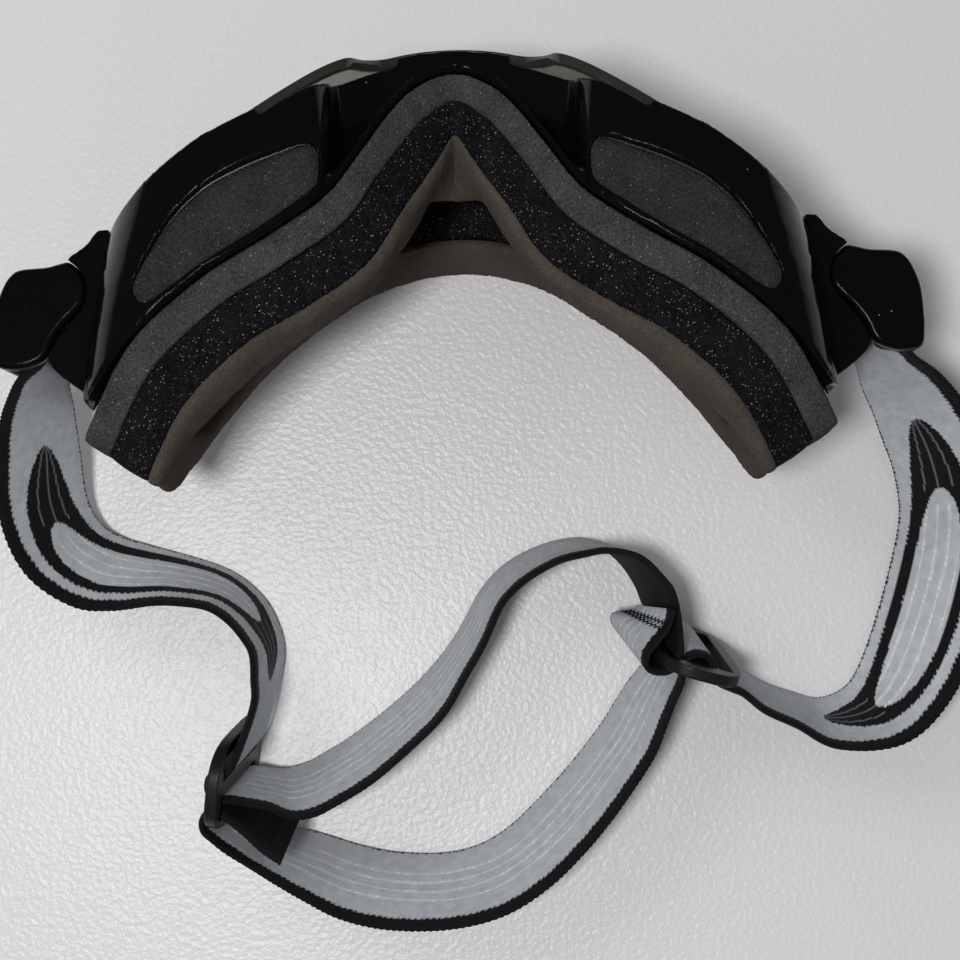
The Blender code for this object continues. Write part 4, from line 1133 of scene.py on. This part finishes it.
def stitch_row(name, ribbon, s, face, body):
    """A zigzag of thread across the webbing at length s."""
    radius, sway = 0.17, 0.55
    i = ribbon.index(s)
    normal = ribbon.normal[i]
    spine = [ribbon.low[i] + ribbon.width[i] * (t * STRAP_W)
             + normal * face * (STRAP_T / 2 + 0.12 + 0.16 * math.sin(t * 150))
             + ribbon.along[i] * sway * math.cos(t * 75) for t in np.linspace(0.03, 0.97, 150)]
    sections = []
    for p, along in zip(spine, unit(np.gradient(np.array(spine), axis=0))):
        a = unit(np.cross(along, normal))
        b = np.cross(along, a)
        sections.append([p + radius * (a * math.cos(q) + b * math.sin(q))
                         for q in np.linspace(0, 2 * math.pi, 7)[:-1]])
    obj = solid(name, tube(sections), THREAD)
    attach(obj, body)


def build_strap(tag, sign, other):
    """The webbing of one side, in pieces that move with different bodies."""
    route = ROUTES[tag]
    stations = anchor_stations(sign)
    exit_at = len(stations)
    stations += run_stations(route["front"])
    fold_at = len(stations)
    stations += bar_stations(*slider_axes(tag), route["fold"])
    leave_at = len(stations) - 1
    stations += run_stations(route["back"])
    end_at = len(stations)
    centre, u, w, v = slider_axes(other)
    end_bar = centre + u * (SLIDER_L / 2 - SLIDER_BAR / 2)
    stations += bar_stations(end_bar, u, w, v, route["end"])
    ribbon = Ribbon(stations)
    exit_s, fold_s, leave_s, end_s = ribbon.station_s[[exit_at, fold_at, leave_at, end_at]]

    cuts = [0] + [ribbon.index(s) for s in (
        exit_s - 1.0, exit_s + 24.0, fold_s - 14.0, fold_s + 2.0, leave_s, leave_s + 15.0,
        end_s - 12.0, end_s)] + [len(ribbon.s) - 1]
    # the inner face looks up at the middle of the front run
    middle = ribbon.index((exit_s + fold_s) / 2)
    inner_sign = 1.0 if ribbon.normal[middle][2] > 0 else -1.0
    outrigger, slider, far = "outrigger_" + tag, "slider_" + tag, "slider_" + other
    # name, body at the start, body at the end and the bend's offsets from the cuts, CAD piece
    pieces = (("loop", outrigger, None, None, "strap_anchor_" + tag),
              ("flex", outrigger, "frame", (1.0, -6.0), None),
              ("run", "frame", "strap", (6.0, -6.0), "strap_front_" + tag),
              ("feed", "strap", slider, (3.0, -2.0), None),
              ("threaded", slider, None, None, "strap_fold_" + tag),
              ("leave", slider, "strap", (2.0, -3.0), None),
              ("band", "strap", None, None, "strap_back_" + tag),
              ("tie", "strap", far, (3.0, -2.0), None),
              ("sewn", far, None, None, "strap_end_" + other))
    for k, (name, body, next_body, bend, cad) in enumerate(pieces):
        first, last = cuts[k], cuts[k + 1]
        figure = exit_s + route["figure"] if k < 5 else None
        obj = ribbon_piece(f"strap_{name}_{tag}", ribbon, first, last, inner_sign, figure)
        if next_body:
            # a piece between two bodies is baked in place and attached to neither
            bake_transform(obj)
        else:
            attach(obj, body)
        if cad:
            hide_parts(cad)
    for k, back in enumerate((3.2, 4.4)):
        stitch_row(f"strap_stitch_{tag}_{k}", ribbon, ribbon.s[-1] - back, -sign * inner_sign, far)


# ---------------------------------------------------------------- floor, light, camera
def build_floor():
    size = 3.0
    mesh = bpy.data.meshes.new("floor")
    corners = [(-size, -size, 0), (size, -size, 0), (size, size, 0), (-size, size, 0)]
    mesh.from_pydata(corners, [], [(0, 1, 2, 3)])
    floor = link("floor", mesh)
    floor.location = (0, 0, -0.0001)
    s = surface("floor_pale", {"Base Color": (0.72, 0.71, 0.725, 1), "Roughness": 0.34,
                               "Specular IOR Level": 0.7})
    s.bump(s.noise(scale=780.0, Detail=1.5), strength=0.4, distance=0.0005)
    mesh.materials.append(s.owner)


def area_light(name, place, target, size, power, colour, in_gloss):
    light = bpy.data.lights.new(name, "AREA")
    light.shape, light.size, light.energy, light.color = "DISK", size, power, colour
    obj = link(name, light)
    obj.location = place
    obj.rotation_mode = "QUATERNION"
    obj.rotation_quaternion = (Vector(target) - Vector(place)).to_track_quat("-Z", "Y")
    obj.visible_glossy = in_gloss


def build_light():
    world = bpy.data.worlds.new("studio")
    scene = bpy.context.scene
    scene.world = world
    s = Shader(world, "Background", {"Color": (0.95, 0.96, 1.0, 1)})
    # a dim room: the gloss sees a darker surround than the matt surfaces do
    glossy = s.add("LightPath", {}).outputs["Is Glossy Ray"]
    s.feed(s.main, {"Strength": s.map_range(glossy, {"To Min": 0.30, "To Max": 0.05})})
    # key and spark share a place: one lights the matt surfaces, the other also shows in gloss
    overhead = dict(place=(-0.13, -0.16, 0.80), target=(0.0, -0.07, 0.02),
                    colour=(1.0, 0.985, 0.965))
    area_light("key", size=0.13, power=2.1, in_gloss=False, **overhead)
    area_light("spark", size=0.12, power=1.6, in_gloss=True, **overhead)
    area_light("fill", place=(-0.55, 0.35, 0.75), target=(0.0, -0.05, 0.0), size=0.5, power=1.6,
               colour=(0.97, 0.98, 1.0), in_gloss=False)
    scene.view_settings.view_transform = "Standard"
    scene.view_settings.look = "None"


def build_camera():
    """A camera above the goggles, looking almost straight down."""
    distance, view_width, sensor = 500.0, 225.6, 36.0
    tilt, roll = math.radians(3), math.radians(-1.3)
    target = np.array([3.6, -40.0, 0.0])
    back = np.array([0, -math.sin(tilt), math.cos(tilt)])
    level = np.array([1.0, 0, 0])
    upright = np.cross(back, level)
    right = math.cos(roll) * level + math.sin(roll) * upright
    up = -math.sin(roll) * level + math.cos(roll) * upright
    camera = bpy.data.cameras.new("camera")
    obj = link("camera", camera)
    matrix = Matrix((Vector(right), Vector(up), Vector(back))).transposed().to_4x4()
    matrix.translation = Vector(layout(target + back * distance))
    obj.matrix_world = matrix
    camera.sensor_fit, camera.sensor_width = "HORIZONTAL", sensor
    camera.lens = sensor * distance / view_width
    camera.clip_start, camera.clip_end = 0.01, 20.0
    bpy.context.scene.camera = obj


build_shell()
build_lens()
build_foams()
build_outriggers()
build_sliders()
build_strap("left", -1, "right")
build_strap("right", 1, "left")
build_floor()
build_light()
build_camera()
